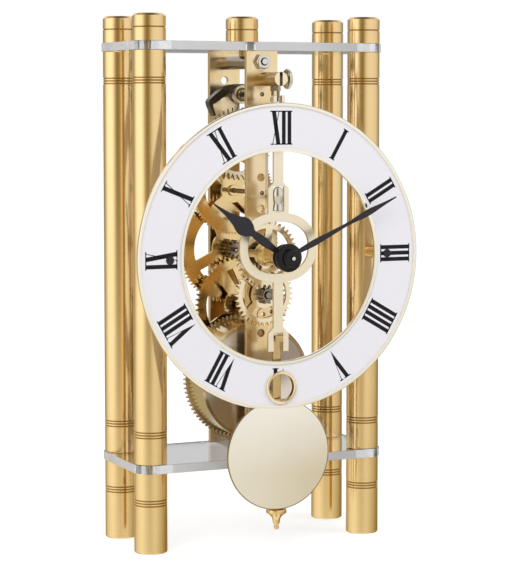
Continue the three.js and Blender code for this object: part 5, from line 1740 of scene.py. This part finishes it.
@dataclass
class Pendulum(Assembly):
    """The leader with its slot, oval ring and fork; the hook strip; the bob; the rating nut."""

    stem: float = 2.0
    head: float = 4.2
    head_height: float = 11.2
    ring: Point = (15.7, 13.0)
    band: float = 3.3
    ring_rise: float = 3.2
    squareness: float = 2.25
    shoulder: float = 2.2
    head_drop: float = 3.9
    lower_stem: float = 16.7
    fork_height: float = 9.0
    fork_slot: float = 1.9
    fork_depth: float = 7.0
    fork_pin: Point = (0.45, 2.9)
    fork_pin_z: float = 79.512
    crutch_slot: float = 2.2
    cheek: Spot = (1.35, 2.4, 3.9)
    hanger: Spot = (4.6, 2.4, 1.3)
    bob_radius: float = 20.85
    bob_crown: float = 0.9
    bob_thickness: float = 1.6
    lug: Spot = (5.2, 3.9, 4.0)
    hook: float = 1.6
    hook_thickness: float = 0.8
    hook_low: float = 21.342
    hook_seat: float = 0.75
    rod_y: float = -31.297
    rod_end: float = 11.95
    thread_start: float = 12.1
    thread_pitch: float = 0.44
    thread_turns: int = 21
    nut: tuple = ((0, 7.8), (0.5, 7.74), (0.85, 7.5), (1.0, 7.05), (0.95, 6.6), (0.78, 6.2), (0.8, 5.95),
                  (1.15, 5.6), (1.36, 5.0), (1.42, 4.3), (1.6, 3.5), (2.05, 2.75), (2.9, 2.0), (3.6, 1.55),
                  (3.8, 1.4), (3.85, 1.2), (3.85, 0.45), (3.72, 0.18), (3.45, 0.06), (1.12, 0.06),
                  (1.12, 4.9), (0, 4.9))

    def build(self) -> None:
        """Makes the leader, the hook strip, the bob and the rating nut."""
        self.place("leader_cut", self.leader(), PALE_BRASS, "pendulum", "pendulum_leader")
        self.place("hook_strip", self.hook_strip(), HOOK_BRASS, "pendulum", "bob_hook")
        self.place("bob_disc", self.bob(), (CHAMPAGNE, BOB_EDGE_SHADE), "bob", "bob")
        top = PLACE.bob[1] - self.bob_radius
        nut = lathe([(reach, top - drop) for reach, drop in self.nut], Axis.Z, (0, self.rod_y, 0), 64)
        self.place("rating_nut_turned", nut, NUT_GOLD, "rating_nut", "rating_nut")

    def oval(self, width: float, height: float, start: float, end: float, steps: int) -> Loop:
        """Points on the ring's rounded oval, of a half width and height, between two angles in radians."""
        power = 2 / self.squareness
        return [(math.copysign(abs(c) ** power, c) * width, math.copysign(abs(s) ** power, s) * height)
                for c, s in arc(1.0, start, end, steps)]

    def outline(self, middle: float) -> Loop:
        """The leader's outer edge.

        Args:
            middle: height of the ring's middle.

        Returns:
            A closed outline.
        """
        wide, tall = self.ring
        head_top, fork_top = middle + tall + self.head_height, middle - tall - self.lower_stem
        fork_low = fork_top - self.fork_height
        reach, foot = (math.acos((half / wide) ** (self.squareness / 2)) for half in (self.head, self.stem))
        right = [(self.stem, PLACE.pallets[1] - self.head_drop), (self.stem, head_top),
                 (self.head, head_top - self.shoulder)]
        right += moved(self.oval(wide, tall, reach, -foot, 60), 0, middle)
        right += [(self.stem, fork_top), (self.head, fork_top - self.shoulder), (self.head, fork_low),
                  (self.fork_slot, fork_low), (self.fork_slot, fork_low + self.fork_depth)]
        return [*right, *[(-x, z) for x, z in reversed(right)]]

    def leader(self) -> Mesh:
        """The flat leader in one outline, with its fork's pin and the block that it hangs by.

        Returns:
            The mesh.
        """
        wide, tall = self.ring
        middle, depth, pivot = PLACE.center[1] + self.ring_rise, PLACE.leader_middle, PLACE.pallets[1]
        inner = moved(self.oval(wide - self.band, tall - self.band, 0, TURN, 96)[:-1], 0, middle)
        slot = rectangle(-self.crutch_slot, self.crutch_slot, middle + tall + 0.4,
                         middle + tall + self.head_height - 1.4)
        thickness = PLACE.leader_back - PLACE.leader_front
        holes = [inner, soften(slot, 0.5, closed=True)]
        flat = sheet(self.outline(middle), holes, PLACE.leader_back, thickness, 0.15)
        radius, half = self.fork_pin
        pin = lathe(soften(shaft(-half, (radius, half)), 0.1), Axis.X, (0, depth, self.fork_pin_z), 20)
        cheeks = [block(self.cheek, (side * 1.63, depth, pivot - 2.45), 0.15) for side in (-1, 1)]
        return joined(flat, pin, block(self.hanger, (0, depth, pivot - 3.75), 0.15), *cheeks)

    def hook_strip(self) -> Mesh:
        """The strip that hooks over the fork's pin and ends in the thread.

        Returns:
            The mesh.
        """
        half = self.hook_thickness / 2
        back, over = PLACE.leader_back + PLAY + half, self.fork_pin_z + self.hook_seat + half
        lip = PLACE.leader_middle - self.hook_seat - half
        path = [(back, self.hook_low, 0), (back, over, 0), (lip, over, 0), (lip, self.fork_pin_z - 0.9, 0)]
        bent = bent_strip([spot[:2] for spot in rounded_path(path, 0.5, 4)], self.hook_thickness)
        strip = sheet(bent, [], self.hook, 2 * self.hook, 0.1)
        strip.transform(Matrix.Rotation(QUARTER, 4, "Z"))
        profile = [(0, self.rod_end), (0.7, self.rod_end)]
        for i in range(self.thread_turns):
            z = self.thread_start + i * self.thread_pitch
            profile += [(1.0, z), (0.78, z + self.thread_pitch / 2)]
        profile += [(0.9, 22.0), (0.9, 25.0), (0, 25.0)]
        return joined(strip, lathe(profile, Axis.Z, (0, self.rod_y, 0), 28))

    def bob(self) -> Mesh:
        """The shallow polished disc with its lug.

        Returns:
            The mesh, with its second slot, a darker brass as painted shade, on the turned edge.
        """
        back, r = self.rod_y - 1.3, self.bob_radius
        front = back - self.bob_thickness
        shares = [0.097 * i for i in range(11)]
        profile = [(r * share, front + self.bob_crown * share**2) for share in shares]
        profile += [(r - 0.42, front + 0.88), (r - 0.15, front + 0.97), (r, front + 1.12), (r, back - 0.1),
                    (r - 0.1, back), (0, back)]
        disc = spin(profile, PLACE.bob, 160)
        # The outer edge takes the darker brass: a painted shade line round the polished disc.
        disc = by_face(disc, lambda middle, normal: int(off_axis(middle, PLACE.bob) > r - 0.4))
        lug = block(self.lug, (0, self.rod_y + 0.25, PLACE.bob[1] - r + 2.0), 0.2)
        return joined(disc, lug)


@dataclass
class MotionWork(Assembly):
    """The cannon pinion, the minute wheel with its pinion and the hour wheel with its pipe."""

    distance: float = PLACE.center[1] - PLACE.minute[1]
    cannon_leaves: int = 12
    cannon_bore: float = 1.3
    cannon_pipe: float = 1.9
    cannon_back: float = -18.9
    cannon_length: float = 2.2
    minute_teeth: int = 36
    minute_leaves: int = 10
    minute_bore: float = 1.5
    hour_teeth: int = 40
    hour_bore: float = 2.2
    hour_hub: float = 4.4
    hour_pipe: float = 3.3
    minute_back: float = -19.5
    hour_back: float = -21.7
    pinion_front: float = -23.7

    def build(self) -> None:
        """Makes the three pieces."""
        back, bore = self.cannon_back, self.cannon_bore
        minute_module = 2 * self.distance / (self.cannon_leaves + self.minute_teeth)
        hour_module = 2 * self.distance / (self.minute_leaves + self.hour_teeth)
        leafed = self.shop.pinion(self.cannon_leaves, minute_module, PLACE.center, back, self.cannon_length,
                                  -QUARTER, circle(bore, steps=24), 0.03)
        tube = soften(shaft(back, (self.cannon_pipe, PLACE.hand_nut_back), bore=bore), 0.15, closed=True)
        mesh = joined(leafed, spin(tube, PLACE.center, closed=True))
        self.place("cannon_pinion_cut", mesh, STEEL, "center", "cannon_pinion")
        bore, start, front = self.minute_bore, self.minute_back - 0.6, self.pinion_front
        hole = circle(bore, steps=24)
        wheel = self.shop.gear(ToothForm.WHEEL, self.minute_teeth, minute_module, PLACE.minute,
                               self.minute_back, QUARTER, CREAM_BRASS, hole, (5.2, 1.6, 2.0, math.pi / 4))
        leafed = self.shop.pinion(self.minute_leaves, hour_module, PLACE.minute, start, start - front,
                                  QUARTER, hole, 0.03)
        boss = [(bore, front + 0.3), (2.3, front + 0.3), (2.3, front - 0.35), (1.9, front - 0.35),
                (1.85, front - 0.1), (bore, front - 0.1)]
        turned = spin(soften(boss, 0.1, closed=True), PLACE.minute, closed=True)
        steel = second(joined(leafed, turned))
        self.place("minute_wheel_cut", joined(wheel, steel), (CREAM_BRASS, STEEL), "minute", "minute_wheel")
        self.hour_wheel(hour_module)

    def hour_wheel(self, module: float) -> None:
        """Makes the hour wheel and its pipe on one body.

        Args:
            module: the wheel's module.
        """
        bore, back, face = self.hour_bore, self.hour_back, self.hour_back - PLACE.wheel
        hub, pipe, front = self.hour_hub, self.hour_pipe, PLACE.hour_hand_back - 0.7
        wheel = self.shop.gear(ToothForm.WHEEL, self.hour_teeth, module, PLACE.center, back, -QUARTER,
                               CREAM_BRASS, circle(bore, steps=32), (4.8, 1.6, 2.8, -0.1))
        profile = soften([(bore, back - 0.1), (hub, back - 0.1), (hub, face - 1.6), (pipe, face - 2.0),
                          (pipe, front), (bore, front)], 0.2, closed=True)
        sleeve = second(spin(profile, PLACE.center, 56, closed=True))
        self.place("hour_wheel_cut", joined(wheel, sleeve), (CREAM_BRASS, HUB_BRASS), "hour", "hour_wheel")


@dataclass
class Hands(Assembly):
    """The hour and minute hands and the black nut that holds them."""

    thickness: float = 0.7
    hour_reach: float = 35.0
    minute_reach: float = 50.0
    hour_angle: float = 305.4
    minute_angle: float = 64.5
    hour_hub: Point = (4.9, 3.6)
    minute_hub: Point = (4.4, 2.2)
    hour_blade: tuple = ((0.16, 1.1), (0.29, 1.65), (0.4, 1.4), (0.455, 1.3), (0.5, 2.5), (0.545, 3.2),
                         (0.59, 3.4), (0.64, 2.9), (0.7, 1.95), (0.82, 0.9), (1.0, 0.2))
    minute_blade: tuple = ((0.11, 0.8), (0.24, 1.15), (0.36, 0.95), (0.53, 0.6), (0.63, 0.85), (0.71, 1.15),
                           (0.77, 1.1), (0.88, 0.6), (1.0, 0.2))
    nut: tuple = ((1.3, 0.9), (0.9, 0.7), (0.9, 0.05), (0.95, 0), (2.6, 0), (3.1, 0.2), (3.4, 0.6),
                  (3.4, 2.3), (3.6, 2.55), (4.5, 2.75), (5.0, 3.05), (5.25, 3.5), (5.25, 4.25),
                  (5.1, 4.4), (1.3, 4.4))

    def build(self) -> None:
        """Makes both hands and the nut."""
        hour = self.hand(self.hour_reach, self.hour_blade, self.hour_hub, PLACE.hour_hand_back,
                         self.hour_angle)
        self.place("hour_hand_cut", hour, SATIN_BLACK, "hour", "hour_hand")
        minute = self.hand(self.minute_reach, self.minute_blade, self.minute_hub, PLACE.minute_hand_back,
                           self.minute_angle)
        self.place("minute_hand_cut", minute, SATIN_BLACK, "center", "minute_hand")
        profile = [(radius, PLACE.hand_nut_front + along) for radius, along in self.nut]
        nut = spin(profile, PLACE.center, 72, closed=True)
        self.place("hand_nut_turned", nut, GLOSS_BLACK, "center", "hand_nut")

    def hand(self, reach: float, blade: Sequence[Point], hub: Point, back: float, degrees: float) -> Mesh:
        """One hand, turned clockwise from twelve.

        Args:
            reach: length from the axis to the tip.
            blade: shares of the reach and half widths there.
            hub: radius of its round hub and of its hole.
            back: depth of its back face.
            degrees: angle from twelve.

        Returns:
            The mesh.
        """
        side = smooth_line([(half, share * reach) for share, half in blade], 6)
        root = math.acos(side[0][0] / hub[0])
        ring = arc(hub[0], root, math.pi - root - TURN, 48)
        outline = [*reversed(side), *ring, *[(-a, b) for a, b in side]]
        mesh = sheet(outline, [circle(hub[1])], back, self.thickness)
        turn = Matrix.Rotation(math.radians(degrees), 4, "Y")
        mesh.transform(Matrix.Translation((PLACE.center[0], 0, PLACE.center[1])) @ turn)
        return mesh


@dataclass
class Dial(Assembly):
    """The white ring with raised rims and numerals, its bush, posts and screws."""

    outer: float = 56.8999
    inner: float = 38.9
    rim_height: float = 0.5
    rim_width: float = 1.5
    bush_hole: float = 5.95
    hole_depths: Point = (-38.0, -32.0)
    numeral_low: float = 41.4
    numeral_high: float = 53.9
    stem: float = 1.5
    hairline: float = 0.28
    serif: float = 0.42
    gap: float = 0.8
    tight_gap: float = 0.48
    ink: float = 0.03
    post_x: float = 44.3
    post_radius: float = 2.6
    post_bore: float = 1.1
    post_length: float = 13.0
    screw_length: float = 10.0
    bush_outer: float = 6.25
    bush_inner: float = 5.0
    under_bush: float = 1.8
    numerals: tuple = ("XII", "I", "II", "III", "IIII", "V", "VI", "VII", "VIII", "IX", "X", "XI")

    def build(self) -> None:
        """Makes the ring, the numerals, the bush, the posts and the screws."""
        self.place("dial_ring", self.ring(), (ENAMEL, RIM), node="dial")
        self.place("dial_numerals", self.numeral_mesh(), INK)
        self.place("winding_bush_turned", self.bush(), BUSH_GOLD, node="winding_bush")
        for name, side in (("left", -1), ("right", 1)):
            at = (side * self.post_x, PLACE.center[1])
            self.place(f"dial_post_{name}_turned", self.post(at), SATIN_GOLD, node=f"dial_post_{name}")
            self.place(f"dial_screw_{name}_turned", self.screw(at), SATIN_BLACK, node=f"dial_screw_{name}")

    def ring(self) -> Mesh:
        """The dial ring, its rims in their own finish.

        Returns:
            The mesh, with its second slot on the rims.
        """
        face, back = PLACE.dial_face, PLACE.dial_back
        rim, i, o, w = face - self.rim_height, self.inner, self.outer, self.rim_width
        profile = [(i, back - 0.15), (i, rim + 0.25), (i + 0.25, rim), (i + w - 0.5, rim),
                   (i + w - 0.15, rim + 0.15), (i + w, face), (o - w, face), (o - w + 0.15, rim + 0.15),
                   (o - w + 0.5, rim), (o - 0.25, rim), (o, rim + 0.25), (o, back - 0.15), (o - 0.15, back),
                   (i + 0.15, back)]
        start, end = self.hole_depths
        holes = [spin(shaft(start, (self.bush_hole, end)), PLACE.barrel, 48)]
        for side in (-1, 1):
            holes.append(spin(shaft(start, (self.post_bore, end)), (side * self.post_x, PLACE.center[1]), 24))
        ring = carved(spin(profile, PLACE.center, 180, closed=True), joined(*holes))

        def finish(middle: Vector, normal: Vector) -> int:
            """1 on the rims, 0 on the face."""
            reach = off_axis(middle, PLACE.center)
            return int(reach < i + w - 0.05 or reach > o - w + 0.05)

        return by_face(ring, finish)

    def strokes(self, text: str) -> tuple[list[Loop], float]:
        """The strokes of one numeral, from its left edge.

        Args:
            text: letters I, V and X.

        Returns:
            Closed polygons and the numeral's width.
        """
        tall, margin = self.numeral_high - self.numeral_low, 0.3
        thick, thin = self.stem, self.hairline
        bar = ((-0.45, thick + 0.45),)
        crossed = [self.slant(0.25, 2.15, thick + 0.15), self.slant(3.1, 0.45, thin)]
        wedge = [[(2.2, 0), (2.92, 0.42 * tall), (thick + 0.2, tall), (0.1, tall)],
                 [(2.2, 0), (3.55 + thin, tall), (3.55, tall)]]
        forms = {
            "I": ([rectangle(0, thick, 0, tall)], bar, bar, thick + self.gap),
            "X": (crossed, ((-0.4, 2.5), (2.6, 4.0)), ((-0.2, 1.2), (1.5, 4.3)), 3.9 + self.tight_gap),
            "V": (wedge, ((-0.5, 2.3), (2.9, 4.4)), (), 4.1 + self.tight_gap),
        }
        polygons: list[Loop] = []
        x = margin
        for letter in text:
            stems, heads, feet, advance = forms[letter]
            bars = [rectangle(*ends, tall - self.serif, tall) for ends in heads]
            bars += [rectangle(*ends, 0, self.serif) for ends in feet]
            polygons += [moved(form, x, 0) for form in (*stems, *bars)]
            x += advance
        return polygons, x - self.gap + margin

    def slant(self, top: float, foot: float, width: float) -> Loop:
        """A slanted stroke, given its left edge at the head and at the foot."""
        tall = self.numeral_high - self.numeral_low
        return [(foot, 0), (foot + width, 0), (top + width, tall), (top, tall)]

    def numeral_mesh(self) -> Mesh:
        """All the numerals, as a thin layer of ink on the face.

        Returns:
            The mesh.
        """
        corners: list[Spot] = []
        faces: list[list[int]] = []
        front, back = PLACE.dial_face - self.ink, PLACE.dial_face + self.ink / 2
        for hour, text in enumerate(self.numerals):
            polygons, width = self.strokes(text)
            if text == "VI":
                polygons = [below(polygon, self.under_bush) for polygon in polygons]
            turn = TURN * hour / len(self.numerals)
            c, s = math.cos(turn), math.sin(turn)
            for polygon in filter(None, polygons):
                start, count = len(corners), len(polygon)
                for depth in (front, back):
                    for across, up in moved(polygon, -width / 2, self.numeral_low):
                        x, z = across * c + up * s, up * c - across * s
                        corners.append((PLACE.center[0] + x, depth, PLACE.center[1] + z))
                faces.append([start + i for i in range(count)])
                faces.append([start + count + i for i in reversed(range(count))])
                for i in range(count):
                    j = (i + 1) % count
                    faces.append([start + j, start + i, start + count + i, start + count + j])
        mesh = mesh_of("numerals", corners, faces)
        mesh.set_sharp_from_angle(angle=CREASE)
        return mesh

    def bush(self) -> Mesh:
        """The rounded bush of the winding hole.

        Returns:
            The mesh.
        """
        face, i, o = PLACE.dial_face, self.bush_inner, self.bush_outer
        profile = [(i, PLACE.dial_back), (i, face - 0.5), (i + 0.12, face - 0.82), (i + 0.38, face - 1.03),
                   ((i + o) / 2, face - 1.1), (o - 0.38, face - 1.03), (o - 0.12, face - 0.82),
                   (o, face - 0.5), (o, face), (o - 0.6, face), (o - 0.6, PLACE.dial_back)]
        return spin(profile, PLACE.barrel, 72, closed=True)

    def post(self, at: Point) -> Mesh:
        """A post from a front column to the dial.

        Args:
            at: its axis.

        Returns:
            The mesh.
        """
        r, bore, start = self.post_radius, self.post_bore, PLACE.dial_back
        end = start + self.post_length
        profile = [(bore, start), (r, start), (r, end), (0, end), (0, end - 2), (bore, end - 2),
                   (bore, start)]
        return spin(soften(profile, 0.12), at)

    def screw(self, at: Point) -> Mesh:
        """A small black screw with a slot.

        Args:
            at: its axis.

        Returns:
            The mesh.
        """
        face, end = PLACE.dial_face, PLACE.dial_back + self.screw_length
        profile = [(0, face - 0.7), (1.1, face - 0.66), (1.4, face - 0.5), (1.55, face - 0.25),
                   (1.55, face), (0.8, face), (0.8, end), (0, end)]
        return carved(spin(profile, at, 36), block((4, 0.5, 0.4), (at[0], face - 0.7, at[1]), 0.01))


@dataclass
class Studio:
    """The camera, the pale floor, soft light and the panels that polished metal reflects.

    shift is the offset of the movement's frame in the row frame, in millimetres.
    """

    shift: float
    lens_px: float = 2024.97
    image: tuple = (519, 572)
    sensor: float = 36.0
    shift_y: float = -0.06
    yaw: float = math.radians(24.5615)
    pitch: float = math.radians(4.1456)
    eye: Spot = (-317.79, -711.49, 166.43)
    panels: tuple = ((-180, 0.42), (-150, 0.4), (-125, 0.45), (-108, 0.8), (-95, 1.12), (-84, 1.35),
                     (-52, 1.35), (-38, 0.9), (-25, 0.42), (-12, 0.26), (-2, 0.28), (12, 0.62), (24, 0.86),
                     (40, 0.95), (66, 0.95), (100, 0.85), (118, 0.6), (140, 0.4), (160, 0.4), (180, 0.42))
    low_panels: tuple = ((-180, 0.42), (-130, 0.55), (-110, 0.8), (-84, 0.95), (-60, 1.02), (-41, 0.94),
                         (-20, 0.85), (0, 0.78), (20, 0.83), (36, 0.82), (46, 0.78), (60, 0.67), (84, 0.56),
                         (110, 0.38), (130, 0.25), (180, 0.42))
    low_warmth: Color = (1.0, 0.975, 0.88)
    panel_rows: tuple = ((-1.5, 1.2), (-0.26, 1.2), (0.1, 1.2), (0.26, 1.2), (0.34, 1.2), (2.0, 1.2),
                         (2.0, 0.5), (2.0, 0.0))
    panel_steps: int = 120
    behind: float = 135.0
    far_light: float = 0.9
    far_low_light: float = 0.3
    ceiling: float = 0.12
    floor_half: float = 6.0
    floor_tint: float = 0.72
    white_floor: float = 0.55
    clear_floor: float = 0.12
    ambient: float = 0.72
    lamp_size: float = 0.9
    lamp_aim: Spot = (0.0, 0.0, 0.1)

    def build(self) -> None:
        """Sets up the picture."""
        self.camera()
        self.world()
        self.floor()
        self.reflections()
        self.lamps()
        bpy.context.scene.view_settings.view_transform = "Standard"

    def camera(self) -> None:
        """Stands the camera where the photograph was taken from."""
        data = bpy.data.cameras.new("camera")
        data.sensor_width = self.sensor
        data.lens = self.lens_px * self.sensor / max(self.image)
        data.shift_y = self.shift_y
        data.clip_start, data.clip_end = 0.05, 20
        camera = shown("camera", data)
        camera.location = (self.eye[0] * MM, (self.eye[1] + self.shift) * MM, self.eye[2] * MM)
        camera.rotation_euler = (QUARTER - self.pitch, 0, -self.yaw)
        bpy.context.scene.camera = camera

    def world(self) -> None:
        """White where it is seen, softer where it lights."""
        world = bpy.data.worlds.new("studio")
        bpy.context.scene.world = world
        world.use_nodes = True
        world.node_tree.nodes.clear()
        nodes = Tree(world.node_tree)
        rays = nodes.add("ShaderNodeLightPath").node.outputs
        seen = nodes.math("MAXIMUM", rays["Is Camera Ray"], rays["Is Glossy Ray"])
        seen = nodes.math("MAXIMUM", seen, rays["Is Transmission Ray"])
        level = nodes.add("ShaderNodeMapRange", seen, 0.0, 1.0, self.ambient, 1.0)
        nodes.finish("ShaderNodeOutputWorld", nodes.add("ShaderNodeBackground", WHITE, level))

    def floor(self) -> None:
        """A pale floor that keeps a faint shadow and that polished metal doesn't reflect."""
        half = self.floor_half
        mesh = mesh_of("floor", [(x, y, 0) for x, y in rectangle(-half, half, -half, half)], [(0, 1, 2, 3)])
        floor = shown("floor", mesh)
        floor.location.z = -0.1 * MM
        floor.visible_glossy = False
        material = bpy.data.materials.new("pale floor")
        material.use_nodes = True
        nodes = Tree(material.node_tree)
        rays = nodes.add("ShaderNodeLightPath").node.outputs
        through = nodes.math("MULTIPLY_ADD", rays["Is Transmission Ray"], self.clear_floor, 0.0)
        glow = nodes.math("MULTIPLY_ADD", rays["Is Camera Ray"], self.white_floor, through)
        nodes.fill(material.node_tree.nodes["Principled BSDF"], {
            "Base Color": (*[self.floor_tint] * 3, 1), "Roughness": 0.9, "Specular IOR Level": 0.0,
            "Emission Color": WHITE, "Emission Strength": glow})
        mesh.materials.append(material)

    def reflections(self) -> None:
        """A ring of soft light and dark panels that only reflections see."""
        steps, rows = self.panel_steps, len(self.panel_rows)
        corners: list[Spot] = []
        glow: list[float] = []
        for i in range(steps):
            angle = -180 + 360 * i / steps
            turn = self.yaw - math.radians(angle)
            for row, (height, radius) in enumerate(self.panel_rows):
                corners.append((-math.sin(turn) * radius, -math.cos(turn) * radius, height))
                glow += [*self.tone(angle, row), 1.0]
        faces = []
        for i in range(steps):
            near, far = i * rows, (i + 1) % steps * rows
            faces += [(near + k, far + k, far + k + 1, near + k + 1) for k in range(rows - 1)]
        mesh = mesh_of("panels", corners, faces)
        mesh.attributes.new("glow", "FLOAT_COLOR", "POINT").data.foreach_set("color", glow)
        wall = shown("panels", mesh)
        for ray in ("camera", "diffuse", "transmission", "shadow", "volume_scatter"):
            setattr(wall, f"visible_{ray}", False)
        material = bpy.data.materials.new("soft panels")
        material.use_nodes = True
        material.node_tree.nodes.clear()
        nodes = Tree(material.node_tree)
        reading = nodes.add("ShaderNodeAttribute", attribute_name="glow")
        nodes.finish("ShaderNodeOutputMaterial", nodes.add("ShaderNodeEmission", reading))
        mesh.materials.append(material)

    def tone(self, angle: float, row: int) -> Color:
        """Colour of the panels: dark ones are warm, bright ones white.

        Args:
            angle: degrees to the camera's right, 180 behind the clock.
            row: row of the panels' corners, from the lowest.

        Returns:
            Red, green and blue.
        """
        if row > 5:
            return (self.ceiling,) * 3
        if row > 1 and abs(angle) > self.behind:
            return (self.far_light if row > 3 else self.far_low_light,) * 3
        level = self.level(self.low_panels if row < 2 else self.panels, angle)
        white = min(max((level - 0.2) / 0.65, 0.0), 1.0)
        red, green, blue = self.low_warmth if row < 2 else (1.0, 1.0, 1.0)
        return level * red, level * green * (0.75 + 0.25 * white), level * blue * (0.28 + 0.72 * white)

    @staticmethod
    def level(panels: Sequence[Point], angle: float) -> float:
        """Brightness of a row of panels.

        Args:
            panels: angles and the brightness there.
            angle: degrees to the camera's right.

        Returns:
            The brightness at the angle.
        """
        for (a, low), (b, high) in zip(panels, panels[1:]):
            if a <= angle <= b:
                return low + (high - low) * (angle - a) / (b - a)
        return panels[0][1]

    def lamps(self) -> None:
        """Two large soft lamps."""
        for name, spot, power in (("key", (-0.7, -0.9, 1.1), 6.0), ("fill", (1.0, -0.8, 0.8), 4.0)):
            data = bpy.data.lights.new(name, "AREA")
            data.energy = power
            data.size = self.lamp_size
            lamp = shown(name, data)
            lamp.location = spot
            way = Vector(self.lamp_aim) - Vector(spot)
            lamp.rotation_euler = way.to_track_quat("-Z", "Y").to_euler()
            lamp.visible_glossy = False


def main() -> None:
    """Builds the clock piece by piece, then the studio."""
    logging.basicConfig(level=logging.INFO, format="%(message)s")
    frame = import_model()
    low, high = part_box("lower_shelf")
    shift = (low.y + high.y) / 2 / MM
    shop = Workshop(shift)
    for assembly in (Case, MovementFrame, Barrel, GoingTrain, Escapement, Suspension, Pendulum, MotionWork,
                     Hands, Dial):
        LOG.info("building %s", assembly.__name__)
        assembly(shop).build()
    mainspring = frame["nodes"]["mainspring"].data
    mainspring.materials.clear()
    mainspring.materials.append(shop.dress(SPRING_STEEL))
    LOG.info("mainspring: kept from the frame")
    Studio(shift).build()


if __name__ == "__main__":
    main()
